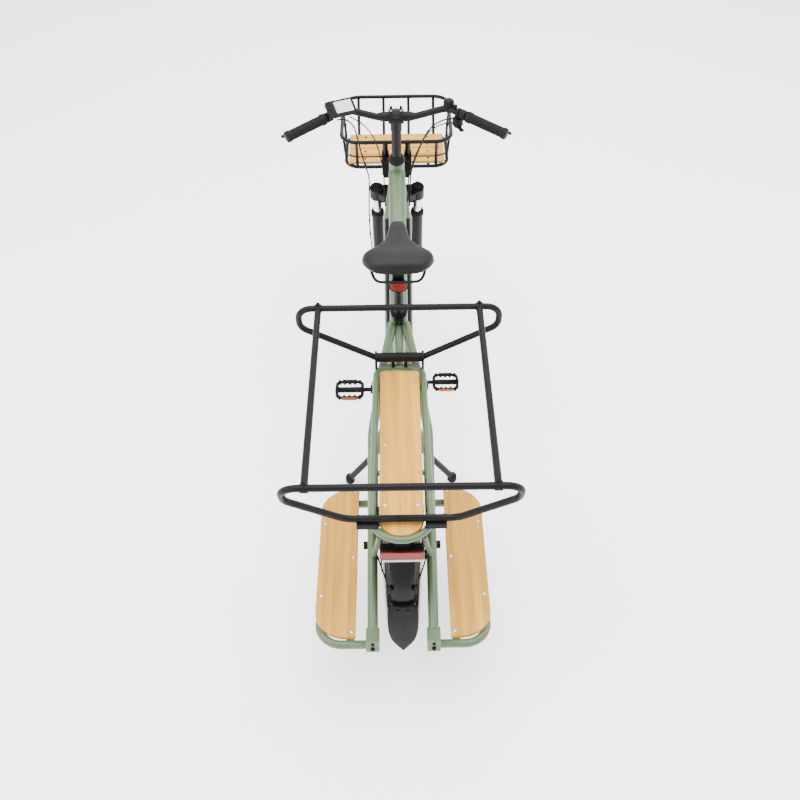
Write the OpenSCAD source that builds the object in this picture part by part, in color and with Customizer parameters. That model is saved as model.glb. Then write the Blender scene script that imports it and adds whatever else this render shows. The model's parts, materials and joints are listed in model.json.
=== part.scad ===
/* [Overall] */
// Overall length, from the rear end blocks to the front tyre
overall_length = 2075; // [2065:5:2085]
// Distance between the two wheel axles
wheelbase = 1380; // [1372:2:1386]
// Height of the crank axle above the ground
crank_height = 290; // [286:1:294]
// Crank axle, measured forward from the rear end
crank_place = 1055; // [1050:1:1060]

/* [Wheels] */
// Front wheel, outside diameter of the tyre
front_tyre_d = 660; // [656:1:662]
// Rear wheel, outside diameter of the tyre
rear_tyre_d = 530; // [526:1:534]
// Width of the front tyre
front_tyre_w = 50; // [46:1:54]
// Width of the rear tyre
rear_tyre_w = 60; // [56:1:62]
// Number of spokes in each wheel
spoke_count = 24; // [16:4:24]

/* [Steering] */
// Angle of the steering axis from the ground
head_angle = 71.5; // [71:0.1:72]
// Distance of the front axle ahead of the steering axis
fork_rake = 46; // [44:1:48]
// Height of the fork crown's bearing seat
crown_height = 790; // [786:1:794]
// Length of the head tube
head_length = 136; // [134:1:138]
// Height of the handlebar clamp
bar_height = 1112; // [1106:1:1120]
// Half the distance between the grip ends
bar_half_width = 337; // [330:1:345]

/* [Seat] */
// Angle of the seat tube from the ground
seat_angle = 72.5; // [72:0.1:73]
// Height of the seat tube's upper end
seat_tube_top = 712; // [706:1:718]
// Height of the saddle's top
saddle_top = 985; // [975:1:995]
// Greatest width of the saddle
saddle_w = 208; // [200:1:214]

/* [Rack] */
// Height of the deck board's top face
deck_top = 620; // [618:1:624]
// Length of the deck board
deck_length = 653; // [645:1:655]
// Width of the deck board
deck_w = 118; // [114:1:120]
// Height of the footboards' top face
footboard_top = 290; // [288:1:292]
// Length of each footboard
footboard_length = 550; // [540:1:556]
// Outside width over both footboards
footboards_w = 490; // [486:1:496]

/* [Passenger hoops] */
// Outside width of the hoops
hoop_w = 606; // [600:1:610]
// Height of the hoops' top tubes
hoop_top = 868; // [862:1:872]
// Radius of the hoop tubes
hoop_r = 9.5; // [9:0.1:10]

/* [Basket] */
// Height of the basket's upper rim
basket_top = 965; // [960:1:970]
// Height of the basket's lower rim
basket_bottom = 848; // [844:1:852]
// Outside width of the upper rim
basket_w = 388; // [380:1:394]

/* [Hidden] */
$fn = 48;

SAGE = [0.62, 0.70, 0.60];
BLACK = [0.13, 0.13, 0.13];
SATIN = [0.2, 0.2, 0.2];
BAMBOO = [0.9, 0.75, 0.5];
STEEL = [0.7, 0.7, 0.7];
RED = [0.75, 0.05, 0.08];
TAN = [0.72, 0.5, 0.3];

// Places along the length: yr(d) is the point d millimetres forward of the rear tubes' ends.
end_overhang = 5;
function yr(d) = d - overall_length / 2 + end_overhang;
function left_right(p) = [-p[0], p[1], p[2]];

front_r = front_tyre_d / 2;
rear_r = rear_tyre_d / 2;
front_axle = [0, overall_length / 2 - front_r, front_r];
rear_axle_at = [0, front_axle[1] - wheelbase, rear_r];
crank_at = [0, yr(crank_place), crank_height];

// Steering axis: its y at a height, and a height along it seen from the crown.
function steer_y(z) = front_axle[1] - fork_rake / sin(head_angle) - (z - front_r) / tan(head_angle);
crown_y = steer_y(crown_height);
axle_drop = (front_axle[1] - crown_y) * cos(head_angle) + (crown_height - front_r) * sin(head_angle);
function seat_y(z) = crank_at[1] - (z - crank_height) / tan(seat_angle);

// How far a weld stands proud where a bend meets a straight.
weld = 0.1;
// Running clearance between a shaft and its bore, on the radius.
run = 0.05;

// ---------- building helpers ----------

module mirrored() {
    children();
    mirror([1, 0, 0]) children();
}

// A round bar from p to q.
module rod(p, q, r) {
    v = q - p;
    l = norm(v);
    translate(p) rotate([0, acos(v[2] / l), atan2(v[1], v[0])]) cylinder(h = l, r = r);
}

// A cylinder along X, centred on p.
module x_disc(p, r, w) {
    translate(p) rotate([0, 90, 0]) cylinder(h = w, r = r, center = true);
}

function unit(v) = v / norm(v);
function turn(a, b, c) = acos(max(-1, min(1, unit(b - a) * unit(c - b))));
function trim_at(a, b, c, bend) = bend * tan(turn(a, b, c) / 2);

// The bend of a tube at corner b, between straights ab and bc.
module elbow(a, b, c, bend, r) {
    along = unit(b - a);
    angle = turn(a, b, c);
    up = unit(cross(along, unit(c - b)));
    out = cross(along, up);
    start = b - along * trim_at(a, b, c, bend);
    centre = start - out * bend;
    multmatrix([[out[0], along[0], up[0], centre[0]],
        [out[1], along[1], up[1], centre[1]],
        [out[2], along[2], up[2], centre[2]],
        [0, 0, 0, 1]])
        rotate_extrude(angle = angle) translate([bend, 0]) circle(r);
}

// A tube through the corners in pts, with every corner bent to the same radius.
module bent_tube(pts, bend, r) {
    n = len(pts);
    for (i = [0 : n - 2]) {
        d = unit(pts[i + 1] - pts[i]);
        from = i == 0 ? 0 : trim_at(pts[i - 1], pts[i], pts[i + 1], bend);
        to = i == n - 2 ? 0 : trim_at(pts[i], pts[i + 1], pts[i + 2], bend);
        rod(pts[i] + d * from, pts[i + 1] - d * to, r);
    }
    for (i = [1 : n - 2]) {
        elbow(pts[i - 1], pts[i], pts[i + 1], bend, r);
        trimmed = trim_at(pts[i - 1], pts[i], pts[i + 1], bend);
        for (d = [unit(pts[i - 1] - pts[i]), unit(pts[i + 1] - pts[i])])
            translate(pts[i] + d * trimmed) sphere(r + weld);
    }
}

// A flat rectangle with round corners.
module round_rect(w, h, r) {
    square([w - 2 * r, h], center = true);
    square([w, h - 2 * r], center = true);
    for (x = [-1, 1], y = [-1, 1]) translate([x * (w / 2 - r), y * (h / 2 - r)]) circle(r);
}

// A bar of that section between two points of the middle plane.
module section_bar(p, q, w, h, r) {
    translate(p) rotate([atan2(p[1] - q[1], q[2] - p[2]), 0, 0])
        linear_extrude(norm(q - p)) round_rect(w, h, r);
}

// Places its children on the steering axis, at height z along it from the crown, z up the axis.
module on_steering(z = 0) {
    translate([0, crown_y, crown_height]) rotate([90 - head_angle, 0, 0]) translate([0, 0, z])
        children();
}

// Places its children on the seat tube's axis, with z up the tube from its upper end.
module on_seat_tube(z = 0) {
    translate([0, seat_y(seat_tube_top), seat_tube_top]) rotate([90 - seat_angle, 0, 0])
        translate([0, 0, z]) children();
}

// A swept tube along a route's points, as one closed surface.
function frame_at(d) = let (s = abs(d[2]) > 0.9 ? [0, 1, 0] : [0, 0, 1], a = unit(cross(d, s)))
    [a, unit(cross(d, a))];
function heading(p, i) = unit(p[min(i + 1, len(p) - 1)] - p[max(i - 1, 0)]);
function curve_point(p, s) = let (
        n = len(p) - 1, i = min(floor(s), n - 1), t = s - i,
        a = p[max(i - 1, 0)], b = p[i], c = p[i + 1], d = p[min(i + 2, n)])
    0.5 * (2 * b + (c - a) * t + (2 * a - 5 * b + 4 * c - d) * t * t
        + (3 * b - a - 3 * c + d) * t * t * t);
module cable(route, r, steps = 3, sides = 8) {
    n = (len(route) - 1) * steps;
    path = [for (k = [0 : n]) curve_point(route, k / steps)];
    rings = [for (k = [0 : n]) let (f = frame_at(heading(path, k)))
        for (j = [0 : sides - 1])
            path[k] + r * (cos(360 * j / sides) * f[0] + sin(360 * j / sides) * f[1])];
    sidewalls = [for (k = [0 : n - 1], j = [0 : sides - 1]) let (m = (j + 1) % sides)
        [k * sides + j, (k + 1) * sides + j, (k + 1) * sides + m, k * sides + m]];
    polyhedron(rings, concat([[for (j = [0 : sides - 1]) j]], sidewalls,
        [[for (j = [sides - 1 : -1 : 0]) n * sides + j]]), convexity = 6);
}

// ---------- frame ----------

head_r = 27;
head_bore = 22;
seat_tube_r = 20.5;
post_r = 17;
bracket_shell_r = 25;
bracket_shell_w = 73;
bracket_bore = 19;
down_w = 96;
down_h = 74;
down_p = [0, steer_y(842) - 6, 838];
down_q = [0, crank_at[1] + 16, crank_height + 12];
down_len = norm(down_q - down_p);
taper_len = 138;
battery_len = 410;
battery_w = 84;
cheek = 4;

// Places its children on the down tube: y is its upper side, z runs down it from the head.
module on_down_tube(z = 0) {
    translate(down_p) rotate([atan2(down_p[1] - down_q[1], down_q[2] - down_p[2]), 0, 0])
        translate([0, 0, z]) children();
}

module down_tube() {
    difference() {
        union() {
            hull() {
                on_down_tube(0) linear_extrude(1) round_rect(54, 58, 24, $fn = 32);
                on_down_tube(taper_len + 2) linear_extrude(1)
                    round_rect(down_w - 0.6, down_h - 0.6, 22, $fn = 32);
            }
            on_down_tube(taper_len) linear_extrude(down_len - taper_len)
                round_rect(down_w, down_h, 22);
        }
        on_down_tube(taper_len + 4) translate([-battery_w / 2 - 1, down_h / 2 - 34, 0])
            cube([battery_w + 2, 64, battery_len]);
    }
}

module front_frame() {
    color(SAGE) difference() {
        union() {
            on_steering() cylinder(h = head_length, r = head_r);
            section_bar([0, steer_y(876) - 4, 868], [0, seat_y(628), 628], 57, 50, 21);
            down_tube();
            on_seat_tube(-(seat_tube_top - crank_height) / sin(seat_angle))
                cylinder(h = (seat_tube_top - crank_height) / sin(seat_angle), r = seat_tube_r);
            x_disc(crank_at, bracket_shell_r, bracket_shell_w);
        }
        on_steering(-1) cylinder(h = head_length + 2, r = head_bore);
        on_seat_tube(-280) cylinder(h = 290, r = post_r + run);
        x_disc(crank_at, bracket_bore, bracket_shell_w + 2);
        // room in front of the head tube and under it, for the fork's crown
        on_steering(-60) translate([-60, head_r - 1, 0]) cube([120, 80, 190]);
        on_steering(-60) translate([-60, -80, 0]) cube([120, 160, 60]);
    }
}

stay_r = 14.6;
stay_x = 84;
stay_rear = yr(40);
stay_rear_z = 285;
stay_slope = 0.41;
chainstay_r = 12;
chainstay_z = 284;
function stay_z(y) = stay_rear_z + stay_slope * (y - stay_rear);

module rear_frame() {
    color(SAGE) difference() {
        union() {
            mirrored() bent_tube([[20, yr(934), 658], [50, yr(800), 597],
                [stay_x, yr(590), stay_z(yr(590))], [stay_x, stay_rear, stay_rear_z]], 160, stay_r,
                $fn = 12);
            mirrored() bent_tube([[20, yr(1040), crank_height], [24, yr(960), crank_height],
                [stay_x, yr(745), chainstay_z + 2], [stay_x, yr(30), chainstay_z - 10]], 90, chainstay_r,
                $fn = 12);
            mirrored() end_block();
            mirrored() dropout();
            rod([-56, yr(838), 289], [56, yr(838), 289], 13);
            rod([-stay_x, yr(640), 285], [stay_x, yr(640), 285], 9);
        }
        // the seat tube and the crank shell keep their own walls
        on_seat_tube(-440) cylinder(h = 460, r = seat_tube_r);
        x_disc(crank_at, bracket_shell_r, bracket_shell_w + 20);
        x_disc(rear_axle_at, axle_r + run, 240);
        mirrored() rod([stay_x, yr(-20), 262], [stay_x, yr(20), 262], 3.3);
    }
}

// The rear tubes end in a short square block that the footboard frame bolts to.
module end_block() {
    translate([stay_x, yr(18), 272]) rotate([90, 0, 0])
        linear_extrude(46, center = true) round_rect(37, 50, 5);
}

axle_r = 6;
dropout_in = 76;
dropout_w = 16;

module dropout() {
    x_disc([dropout_in + dropout_w / 2, rear_axle_at[1], rear_axle_at[2]], 20, dropout_w);
    translate([dropout_in, rear_axle_at[1] - 20, rear_axle_at[2]]) cube([dropout_w, 40, 16]);
}

loop_r = 10;
loop_z = 605;
loop_front_x = 71;
loop_rear_x = 79;
loop_front = yr(782);
loop_rear = yr(90);
loop_side = [(loop_front_x + loop_rear_x) / 2, (loop_front + loop_rear) / 2, loop_z];

module rack_loop() {
    color(SAGE) {
        difference() {
            union() {
                bent_tube([loop_side, [loop_front_x, loop_front, loop_z],
                    [-loop_front_x, loop_front, loop_z], left_right(loop_side)], 42, loop_r,
                    $fn = 12);
                bent_tube([loop_side, [loop_rear_x, loop_rear, loop_z],
                    [-loop_rear_x, loop_rear, loop_z], left_right(loop_side)], 76, loop_r,
                    $fn = 12);
                mirrored() translate(loop_side) sphere(loop_r + weld, $fn = 12);
                rod([0, yr(925), 648], [0, loop_front, loop_z], 12.5);
                mirrored() rod([57, yr(113), 596], [80, yr(236), 368], 8);
            }
            on_seat_tube(-300) cylinder(h = 340, r = seat_tube_r);
        }
        // straps between the loop's sides, that carry the board
        for (y = deck_bars) translate([0, yr(y), loop_z - 9]) difference() {
            translate([-strap_half, -12, 0]) cube([2 * strap_half, 24, 8]);
            for (x = [-1, 1]) translate([x * deck_screw_x, 0, -1]) cylinder(h = 10, r = 2.6);
        }
    }
}

deck_bars = [695, 428, 200];
strap_half = 61;
deck_screw_x = 44;
board_t = 15;
deck_front = yr(747);

module deck_board() {
    color(BAMBOO) translate([0, 0, deck_top - board_t]) difference() {
        linear_extrude(board_t) deck_outline();
        for (y = deck_bars, x = [-1, 1]) screw_hole([x * deck_screw_x, yr(y), board_t]);
    }
}

module deck_outline() {
    r = deck_w / 2;
    corner = 12;
    translate([-r, deck_front - deck_length + r]) square([deck_w, deck_length - r - corner]);
    translate([-r + corner, deck_front - corner - 1]) square([deck_w - 2 * corner, corner + 1]);
    for (s = [-1, 1]) translate([s * (r - corner), deck_front - corner]) circle(corner);
    translate([0, deck_front - deck_length + r]) circle(r);
}

footboard_in = 131;
footboard_out = footboards_w / 2;
footboard_rear = yr(16);
footboard_corner = 88;
footboard_t = 14;
foot_tube_r = 12;
foot_tube_z = footboard_top - footboard_t - foot_tube_r;
foot_tube_out = footboard_out - foot_tube_r;
foot_tube_front = yr(528);
foot_tube_rear = yr(8);
foot_screws = [[142, 558], [231, 429], [143, 295], [231, 157], [142, 33]];

// One board: square inner corners, and outer corners of a large radius.
module footboard() {
    w = footboard_out - footboard_in;
    color(BAMBOO) translate([0, 0, footboard_top - footboard_t]) difference() {
        linear_extrude(footboard_t) intersection() {
            translate([footboard_in, footboard_rear]) square([w, footboard_length]);
            union() {
                translate([0, footboard_rear])
                    square([footboard_out - footboard_corner, footboard_length]);
                translate([0, footboard_rear + footboard_corner])
                    square([footboard_out, footboard_length - 2 * footboard_corner]);
                for (y = [footboard_corner, footboard_length - footboard_corner])
                    translate([footboard_out - footboard_corner, footboard_rear + y])
                        circle(footboard_corner, $fn = 96);
            }
        }
        for (s = foot_screws) screw_hole([s[0], yr(s[1]), footboard_t]);
    }
}

module footboard_right() footboard();
module footboard_left() mirror([1, 0, 0]) footboard();

module footboard_frame() {
    $fn = 16;
    z = foot_tube_z;
    color(SAGE) difference() {
        union() {
            mirrored() {
                bent_tube([[stay_x + 19, foot_tube_rear, z], [foot_tube_out, foot_tube_rear, z],
                    [foot_tube_out, foot_tube_front, z], [stay_x + 6, foot_tube_front, z]],
                    74, foot_tube_r);
                translate([footboard_in + 4, foot_tube_rear, z + 4]) cube([22, 520, 8]);
                for (y = [157, 295, 429]) translate([footboard_in + 4, yr(y) - 11, z + 4])
                    cube([foot_tube_out - footboard_in - 4, 22, 8]);
                translate([footboard_in + 4, foot_tube_front, z + 4]) cube([22, 42, 8]);
            }
        }
        mirrored() rod([stay_x, yr(745), chainstay_z + 2], [stay_x, yr(30), chainstay_z - 10],
            chainstay_r);
        mirrored() for (s = foot_screws) translate([s[0], yr(s[1]), z - 20]) cylinder(h = 60, r = 2.6);
    }
}

// Countersunk screws of the deck and of both footboards.
module board_screws() {
    color(STEEL) {
        for (y = deck_bars, x = [-1, 1]) screw([x * deck_screw_x, yr(y), deck_top], 26);
        mirrored() for (s = foot_screws) screw([s[0], yr(s[1]), footboard_top], 24);
    }
}

screw_head_h = 2.2;
screw_head_r = 5.5;

// A screw whose head lies just below the board's face at p.
module screw(p, l) {
    translate(p - [0, 0, l]) cylinder(h = l - 1.4, r = 2.5);
    translate(p - [0, 0, screw_head_h - 0.05]) difference() {
        cylinder(h = screw_head_h - 0.15, r = screw_head_r);
        translate([0, 0, 1]) cylinder(h = screw_head_h, r = 2);
    }
}

// The hole for a screw, with a seat for its head, down from p.
module screw_hole(p) {
    translate([p[0], p[1], -1]) cylinder(h = p[2] + 2, r = 2.6);
    translate(p - [0, 0, screw_head_h]) cylinder(h = screw_head_h + 1, r = screw_head_r + 0.2);
}

// ---------- passenger hoops ----------

hoop_x = hoop_w / 2 - hoop_r - 2;
front_hoop_base = [0, yr(781), 646];
front_hoop_top = [0, yr(737), hoop_top];
rear_hoop_base = [0, yr(137), 636];
rear_hoop_top = [0, yr(30), hoop_top];
rail_x = 232;
rail_r = 9.5;

// A point of a hoop: x across, and h up its sloping plane as a share from base to top.
function hoop_at(base, top, x, h) = [x, base[1] + h * (top[1] - base[1]), base[2] + h * (top[2] - base[2])];
function mirror_route(p) = concat(p, [for (i = [len(p) - 1 : -1 : 0]) left_right(p[i])]);

module front_hoop() {
    $fn = 12;
    half = [for (c = [[66, 0.0], [86, 0.045], [hoop_x, 0.64], [hoop_x, 1]])
        hoop_at(front_hoop_base, front_hoop_top, c[0], c[1])];
    color(BLACK) bent_tube(mirror_route([half[1], half[2], half[3]]), 46, hoop_r);
}

module rear_hoop() {
    $fn = 12;
    half = [for (c = [[146, 0], [hoop_x, 0.64], [hoop_x, 1]])
        hoop_at(rear_hoop_base, rear_hoop_top, c[0], c[1])];
    color(BLACK) {
        bent_tube(mirror_route([hoop_at(rear_hoop_base, rear_hoop_top, 100, 0), half[0], half[1],
            half[2]]), 58, hoop_r);
        rod([-100, rear_hoop_base[1], rear_hoop_base[2]], [100, rear_hoop_base[1], rear_hoop_base[2]],
            hoop_r);
    }
}

module side_rails() {
    z = hoop_top;
    color(BLACK) mirrored() difference() {
        union() {
            rod([rail_x, rear_hoop_top[1] + hoop_r, z], [rail_x, front_hoop_top[1] - hoop_r, z], rail_r);
            for (h = [rear_hoop_top, front_hoop_top])
                x_disc([rail_x, h[1], z], hoop_r + 3, 20);
        }
        for (h = [rear_hoop_top, front_hoop_top]) x_disc([rail_x, h[1], z], hoop_r, 22);
    }
}

module hoop_brackets() {
    b = front_hoop_base;
    color(BLACK) {
        // front: a cross bar on the rack loop, with an end plate for each arm of the hoop
        translate([0, b[1], b[2]]) rotate([0, 90, 0]) rotate([0, 0, 90])
            linear_extrude(136, center = true) round_rect(24, 22, 4);
        mirrored() translate([68, b[1], 634]) rotate([0, 90, 0]) rotate([0, 0, 90])
            linear_extrude(7) round_rect(34, 56, 8);
        mirrored() rod([72, b[1], b[2]],
            hoop_at(front_hoop_base, front_hoop_top, 86, 0.045), hoop_r);
        mirrored() translate([14, b[1] - 8, loop_z + loop_r - 4]) cube([10, 16, 24]);
        // rear: a pad on each side of the loop under the hoop's straight
        mirrored() difference() {
            translate([62, yr(120), loop_z + loop_r - 2]) cube([56, 38, 15]);
            rod([0, rear_hoop_base[1], rear_hoop_base[2]], [200, rear_hoop_base[1], rear_hoop_base[2]],
                hoop_r);
        }
        mirrored() for (h = [rear_hoop_top, front_hoop_top])
            translate([rail_x, h[1], hoop_top + hoop_r + 3 - 1]) cylinder(h = 5, r = 6);
    }
}

// ---------- basket ----------

rim_r = 6.5;
basket_near = yr(1528);
basket_far = yr(1880);
floor_near = yr(1572);
floor_far = yr(1806);
floor_w = 366;

// A rim: a flat ring of tube with round corners.
module rim(w, near, far, z, corner, r) {
    x = w / 2 - r;
    a = near + r;
    b = far - r;
    mirrored() bent_tube([[0, a, z], [x, a, z], [x, b, z], [0, b, z]], corner, r);
}

function rim_point(t, side) = [side[0] * ((1 - t) * (floor_w / 2 - rim_r) + t * (basket_w / 2 - rim_r)),
    side[1] < 0 ? (1 - t) * (floor_near + rim_r) + t * (basket_near + rim_r)
        : (1 - t) * (floor_far - rim_r) + t * (basket_far - rim_r),
    (1 - t) * basket_bottom + t * basket_top];

module basket_frame() {
    $fn = 12;
    wire_t = 0.42;
    near_t = rim_point(wire_t, [1, -1]);
    far_t = rim_point(wire_t, [1, 1]);
    low_a = floor_near + rim_r;
    low_b = floor_far - rim_r;
    top_a = basket_near + rim_r;
    top_b = basket_far - rim_r;
    color(BLACK) {
        rim(basket_w, basket_near, basket_far, basket_top, 58, rim_r);
        rim(floor_w, floor_near, floor_far, basket_bottom, 50, rim_r);
        for (x = [-135, -45, 45, 135]) rod([x, low_b, basket_bottom], [x, top_b, basket_top], 4.5);
        for (x = [-136, 136]) rod([x, low_a, basket_bottom], [x, top_a, basket_top], 4.5);
        mirrored() for (t = [0.28, 0.72]) rod([floor_w / 2 - rim_r, low_a + t * (low_b - low_a), basket_bottom],
            [basket_w / 2 - rim_r, top_a + t * (top_b - top_a), basket_top], 4.5);
        // a thin wire round the near side and both flanks, halfway up
        mirrored() bent_tube([[0, near_t[1], near_t[2]], [near_t[0], near_t[1], near_t[2]],
            [near_t[0], far_t[1] - 30, near_t[2]]], 54, 2.6);
        for (x = [-110, 0, 110]) rod([x, low_a, basket_bottom - 1], [x, low_b, basket_bottom - 1], 5);
    }
}

slat_count = 4;
slat_gap = 5;

module basket_floor() {
    depth = (floor_far - floor_near - 4 * rim_r - 4) / slat_count;
    color(BAMBOO) for (i = [0 : slat_count - 1])
        translate([-floor_w / 2 + 2 * rim_r + 3, floor_near + 2 * rim_r + 2 + i * depth + slat_gap / 2,
            basket_bottom + 4]) cube([floor_w - 4 * rim_r - 6, depth - slat_gap, 9]);
}

module basket_mount() {
    z = basket_bottom;
    color(BLACK) difference() {
        union() {
            translate([-44, yr(1522), z - 12]) cube([88, 40, 64]);
            mirrored() {
                translate([26, yr(1556), z - 22]) cube([25, 18, 90]);
                rod([38, yr(1563), z + 60], [38, basket_near + rim_r, basket_top], 9);
                translate([28, yr(1570), z - 22]) cube([21, 60, 14]);
            }
        }
        on_steering(-2) cylinder(h = 200, r = head_r);
        rim(basket_w, basket_near, basket_far, basket_top, 58, rim_r);
        rim(floor_w, floor_near, floor_far, basket_bottom, 50, rim_r);
    }
}

module headlight() {
    p = [0, yr(1618), basket_bottom - 34];
    color(BLACK) {
        translate(p) rotate([-90, 0, 0]) cylinder(h = 34, r1 = 17, r2 = 24);
        translate(p + [-9, 6, 12]) cube([18, 18, 15]);
    }
    color([0.9, 0.92, 0.95]) translate(p + [0, 34, 0]) rotate([-90, 0, 0]) cylinder(h = 4, r = 22);
}

// ---------- bearings, seat ----------

steerer_r = 14.3;
spindle_r = 12;

module bearing_cups() {
    color(BLACK) {
        for (z = [0.2, head_length - 12]) on_steering(z) difference() {
            cylinder(h = 11.8, r = head_bore);
            translate([0, 0, -1]) cylinder(h = 14, r = steerer_r + run);
        }
        mirrored() difference() {
            union() {
                x_disc(crank_at + [bracket_shell_w / 2 - 9, 0, 0], bracket_bore, 18);
                x_disc(crank_at + [bracket_shell_w / 2 + 2, 0, 0], bracket_shell_r - 2, 4);
            }
            x_disc(crank_at, spindle_r + run, 120);
        }
    }
}

module seat_clamp() {
    color(BLACK) difference() {
        union() {
            on_seat_tube(-20) cylinder(h = 20, r = seat_tube_r + 6);
            on_seat_tube(0) cylinder(h = 6, r = seat_tube_r + 2);
            on_seat_tube(-18) translate([-12, -seat_tube_r - 18, 0]) cube([24, 18, 16]);
        }
        on_seat_tube(-21) cylinder(h = 21, r = seat_tube_r);
        on_seat_tube(-5) cylinder(h = 20, r = post_r + 0.4);
        on_seat_tube(-25) translate([-1, -60, 0]) cube([2, 60 - post_r, 40]);
    }
}

saddle_z = saddle_top - 46;
post_length = (saddle_z - 34 - seat_tube_top) / sin(seat_angle) + 190;
saddle_rear = yr(800);
saddle_len = 262;

module seatpost() {
    rail_z = saddle_z - 16;
    color(BLACK) {
        on_seat_tube(-190) cylinder(h = post_length, r = post_r);
        // the head that clamps the saddle's two rails
        on_seat_tube(post_length - 196) translate([-17, -20, -4]) cube([34, 40, 26]);
        mirrored() cable([[22, saddle_rear + 36, saddle_z], [22, saddle_rear + 62, rail_z],
            [22, saddle_rear + 165, rail_z], [10, saddle_rear + 220, saddle_z]], 3.5, 3, 10);
        for (y = [-14, 14]) translate([-26, seat_y(rail_z) + y - 6, rail_z - 5]) cube([52, 12, 10]);
        // a rod that loops round under the saddle's tail
        cable(mirror_route([[84, saddle_rear + 95, saddle_z - 2], [79, saddle_rear + 40, saddle_z - 12],
            [66, saddle_rear + 6, saddle_z - 22], [40, saddle_rear - 4, saddle_z - 24]]), 4.4, 3, 10);
    }
    // a round reflector on a clamp round the post
    color(RED) on_seat_tube(170) translate([0, -post_r - 2, 0]) rotate([90, 0, 0])
        cylinder(h = 10, r = 27);
}

// The saddle: a padded shell, wide at the tail and long at the nose.
module saddle() {
    stations = [[0, 60, 26], [34, saddle_w / 2, 36], [84, saddle_w / 2 - 12, 38], [140, 42, 34],
        [200, 24, 30], [saddle_len - 8, 18, 24]];
    color(BLACK) intersection() {
        for (i = [0 : len(stations) - 2]) hull() for (s = [stations[i], stations[i + 1]])
            translate([0, saddle_rear + s[0], saddle_z]) saddle_slice(s[1], s[2]);
        translate([-200, saddle_rear - 50, saddle_z]) cube([400, 400, 80]);
    }
}

module saddle_slice(half_w, h) {
    rotate([90, 0, 0]) linear_extrude(8, center = true) scale([half_w, h + 8])
        circle(1, $fn = 24);
}

// ---------- rear end ----------

guard_r = 277;
guard_w = 62;
guard_t = 5;

// A curved mudguard round a wheel, from one angle to another, measured from the rear, upward.
module mudguard(centre, r, w, from, to) {
    translate(centre) multmatrix([[0, 0, -1, 0], [-1, 0, 0, 0], [0, 1, 0, 0], [0, 0, 0, 1]])
        rotate([0, 0, from]) rotate_extrude(angle = to - from) {
            translate([r, -w / 2 + 8]) square([guard_t - 2, w - 16]);
            for (s = [-1, 1]) translate([r - 5, s * (w / 2 - 4) - 4]) square([guard_t, 8]);
            for (s = [-1, 1]) translate([r - 3, s * (w / 2 - 8) - 3]) square([guard_t, 6]);
        }
}

module rear_mudguard() {
    color(BLACK) {
        mudguard(rear_axle_at, guard_r, guard_w, 14, 150);
        // a clip across it, and a wire stay from each clip end to the stays
        mirrored() {
            rod([29, yr(104), 383], [62, yr(205), 366], 2.2);
            rod([62, yr(205), 366], [70, yr(236), 365], 3.2);
            translate([24, yr(99), 374]) cube([8, 14, 16]);
        }
        translate([-12, yr(330), 541]) cube([24, 40, 54]);
    }
}

module mud_flap() {
    top = 340;
    tip = 128;
    color(SATIN) translate([0, yr(79), 0]) rotate([90, 0, 0]) translate([0, 0, -1.5])
        linear_extrude(3) hull() {
            translate([-33, top - 4]) square([66, 4]);
            for (x = [-1, 1]) translate([x * 31, 222]) circle(12, $fn = 32);
            translate([0, tip + 14]) circle(14, $fn = 32);
        }
}

module rear_light() {
    color(RED) translate([0, yr(100), 542]) rotate([90, 0, 0])
        linear_extrude(12) round_rect(119, 34, 8);
    color(BLACK) {
        translate([0, yr(112), 545]) rotate([90, 0, 0]) linear_extrude(12) round_rect(119, 40, 8);
        translate([-22, yr(100), 562]) cube([44, 12, 34]);
    }
}

// Flat guards on both sides of the rear wheel, over its rear and upper spokes.
module wheel_guards() {
    color(SATIN) mirrored() translate([rear_axle_at[0] + 53, rear_axle_at[1], rear_axle_at[2]])
        rotate([90, 0, 90]) difference() {
            union() {
                linear_extrude(3) difference() {
                    circle(rear_r - 5, $fn = 96);
                    circle(118);
                    translate([-400, -420]) square([800, 400]);
                    rotate([0, 0, -55]) translate([0, -400]) square([400, 800]);
                }
            }
        }
    color(BLACK) mirrored() for (a = [20, 75]) translate(rear_axle_at)
        rod([56, -210 * cos(a), 210 * sin(a)], [70, -215 * cos(a), 215 * sin(a)], 4);
}

disc_x = 62;

module rear_caliper() {
    p = rear_axle_at + [-disc_x, 72, 34];
    color(BLACK) difference() {
        translate(p + [-12, -14, -18]) cube([24, 46, 40]);
        translate(p + [-2, -60, -80]) cube([4, 90, 92]);
        rod(left_right([stay_x, yr(745), chainstay_z + 2]), left_right([stay_x, yr(30), chainstay_z - 10]),
            chainstay_r);
        x_disc(rear_axle_at - [disc_x, 0, 0], disc_r + 2, 5);
    }
}

disc_r = 80;

module rear_axle() {
    color(STEEL) x_disc(rear_axle_at, axle_r, 200);
    color(BLACK) mirrored() difference() {
        x_disc(rear_axle_at + [104, 0, 0], 12, 22);
        x_disc(rear_axle_at, axle_r, 200);
    }
}

// ---------- kickstand ----------

stand_at = [0, yr(807), 250];
stand_foot = [179, yr(880), 12];
stand_r = 11;

module kickstand_bracket() {
    color(BLACK) difference() {
        union() {
            translate([-41, yr(796), 262]) cube([82, 46, 14]);
            mirrored() translate([30, yr(793), 238]) cube([10, 30, 28]);
        }
        rod([-60, yr(838), 289], [60, yr(838), 289], 13);
        x_disc(stand_at, 8 + run, 120);
    }
}

module kickstand_legs() {
    color(BLACK) {
        x_disc(stand_at, 8, 110);
        mirrored() difference() {
            union() {
                x_disc(stand_at + [51, 0, 0], 13, 18);
                rod([52, stand_at[1], stand_at[2]], stand_foot + [-5, -3, 12], stand_r);
                translate([stand_foot[0], stand_foot[1], 0]) cylinder(h = 24, r = 15);
            }
            x_disc(stand_at, 8, 300);
        }
    }
}

// ---------- drive ----------

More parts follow.
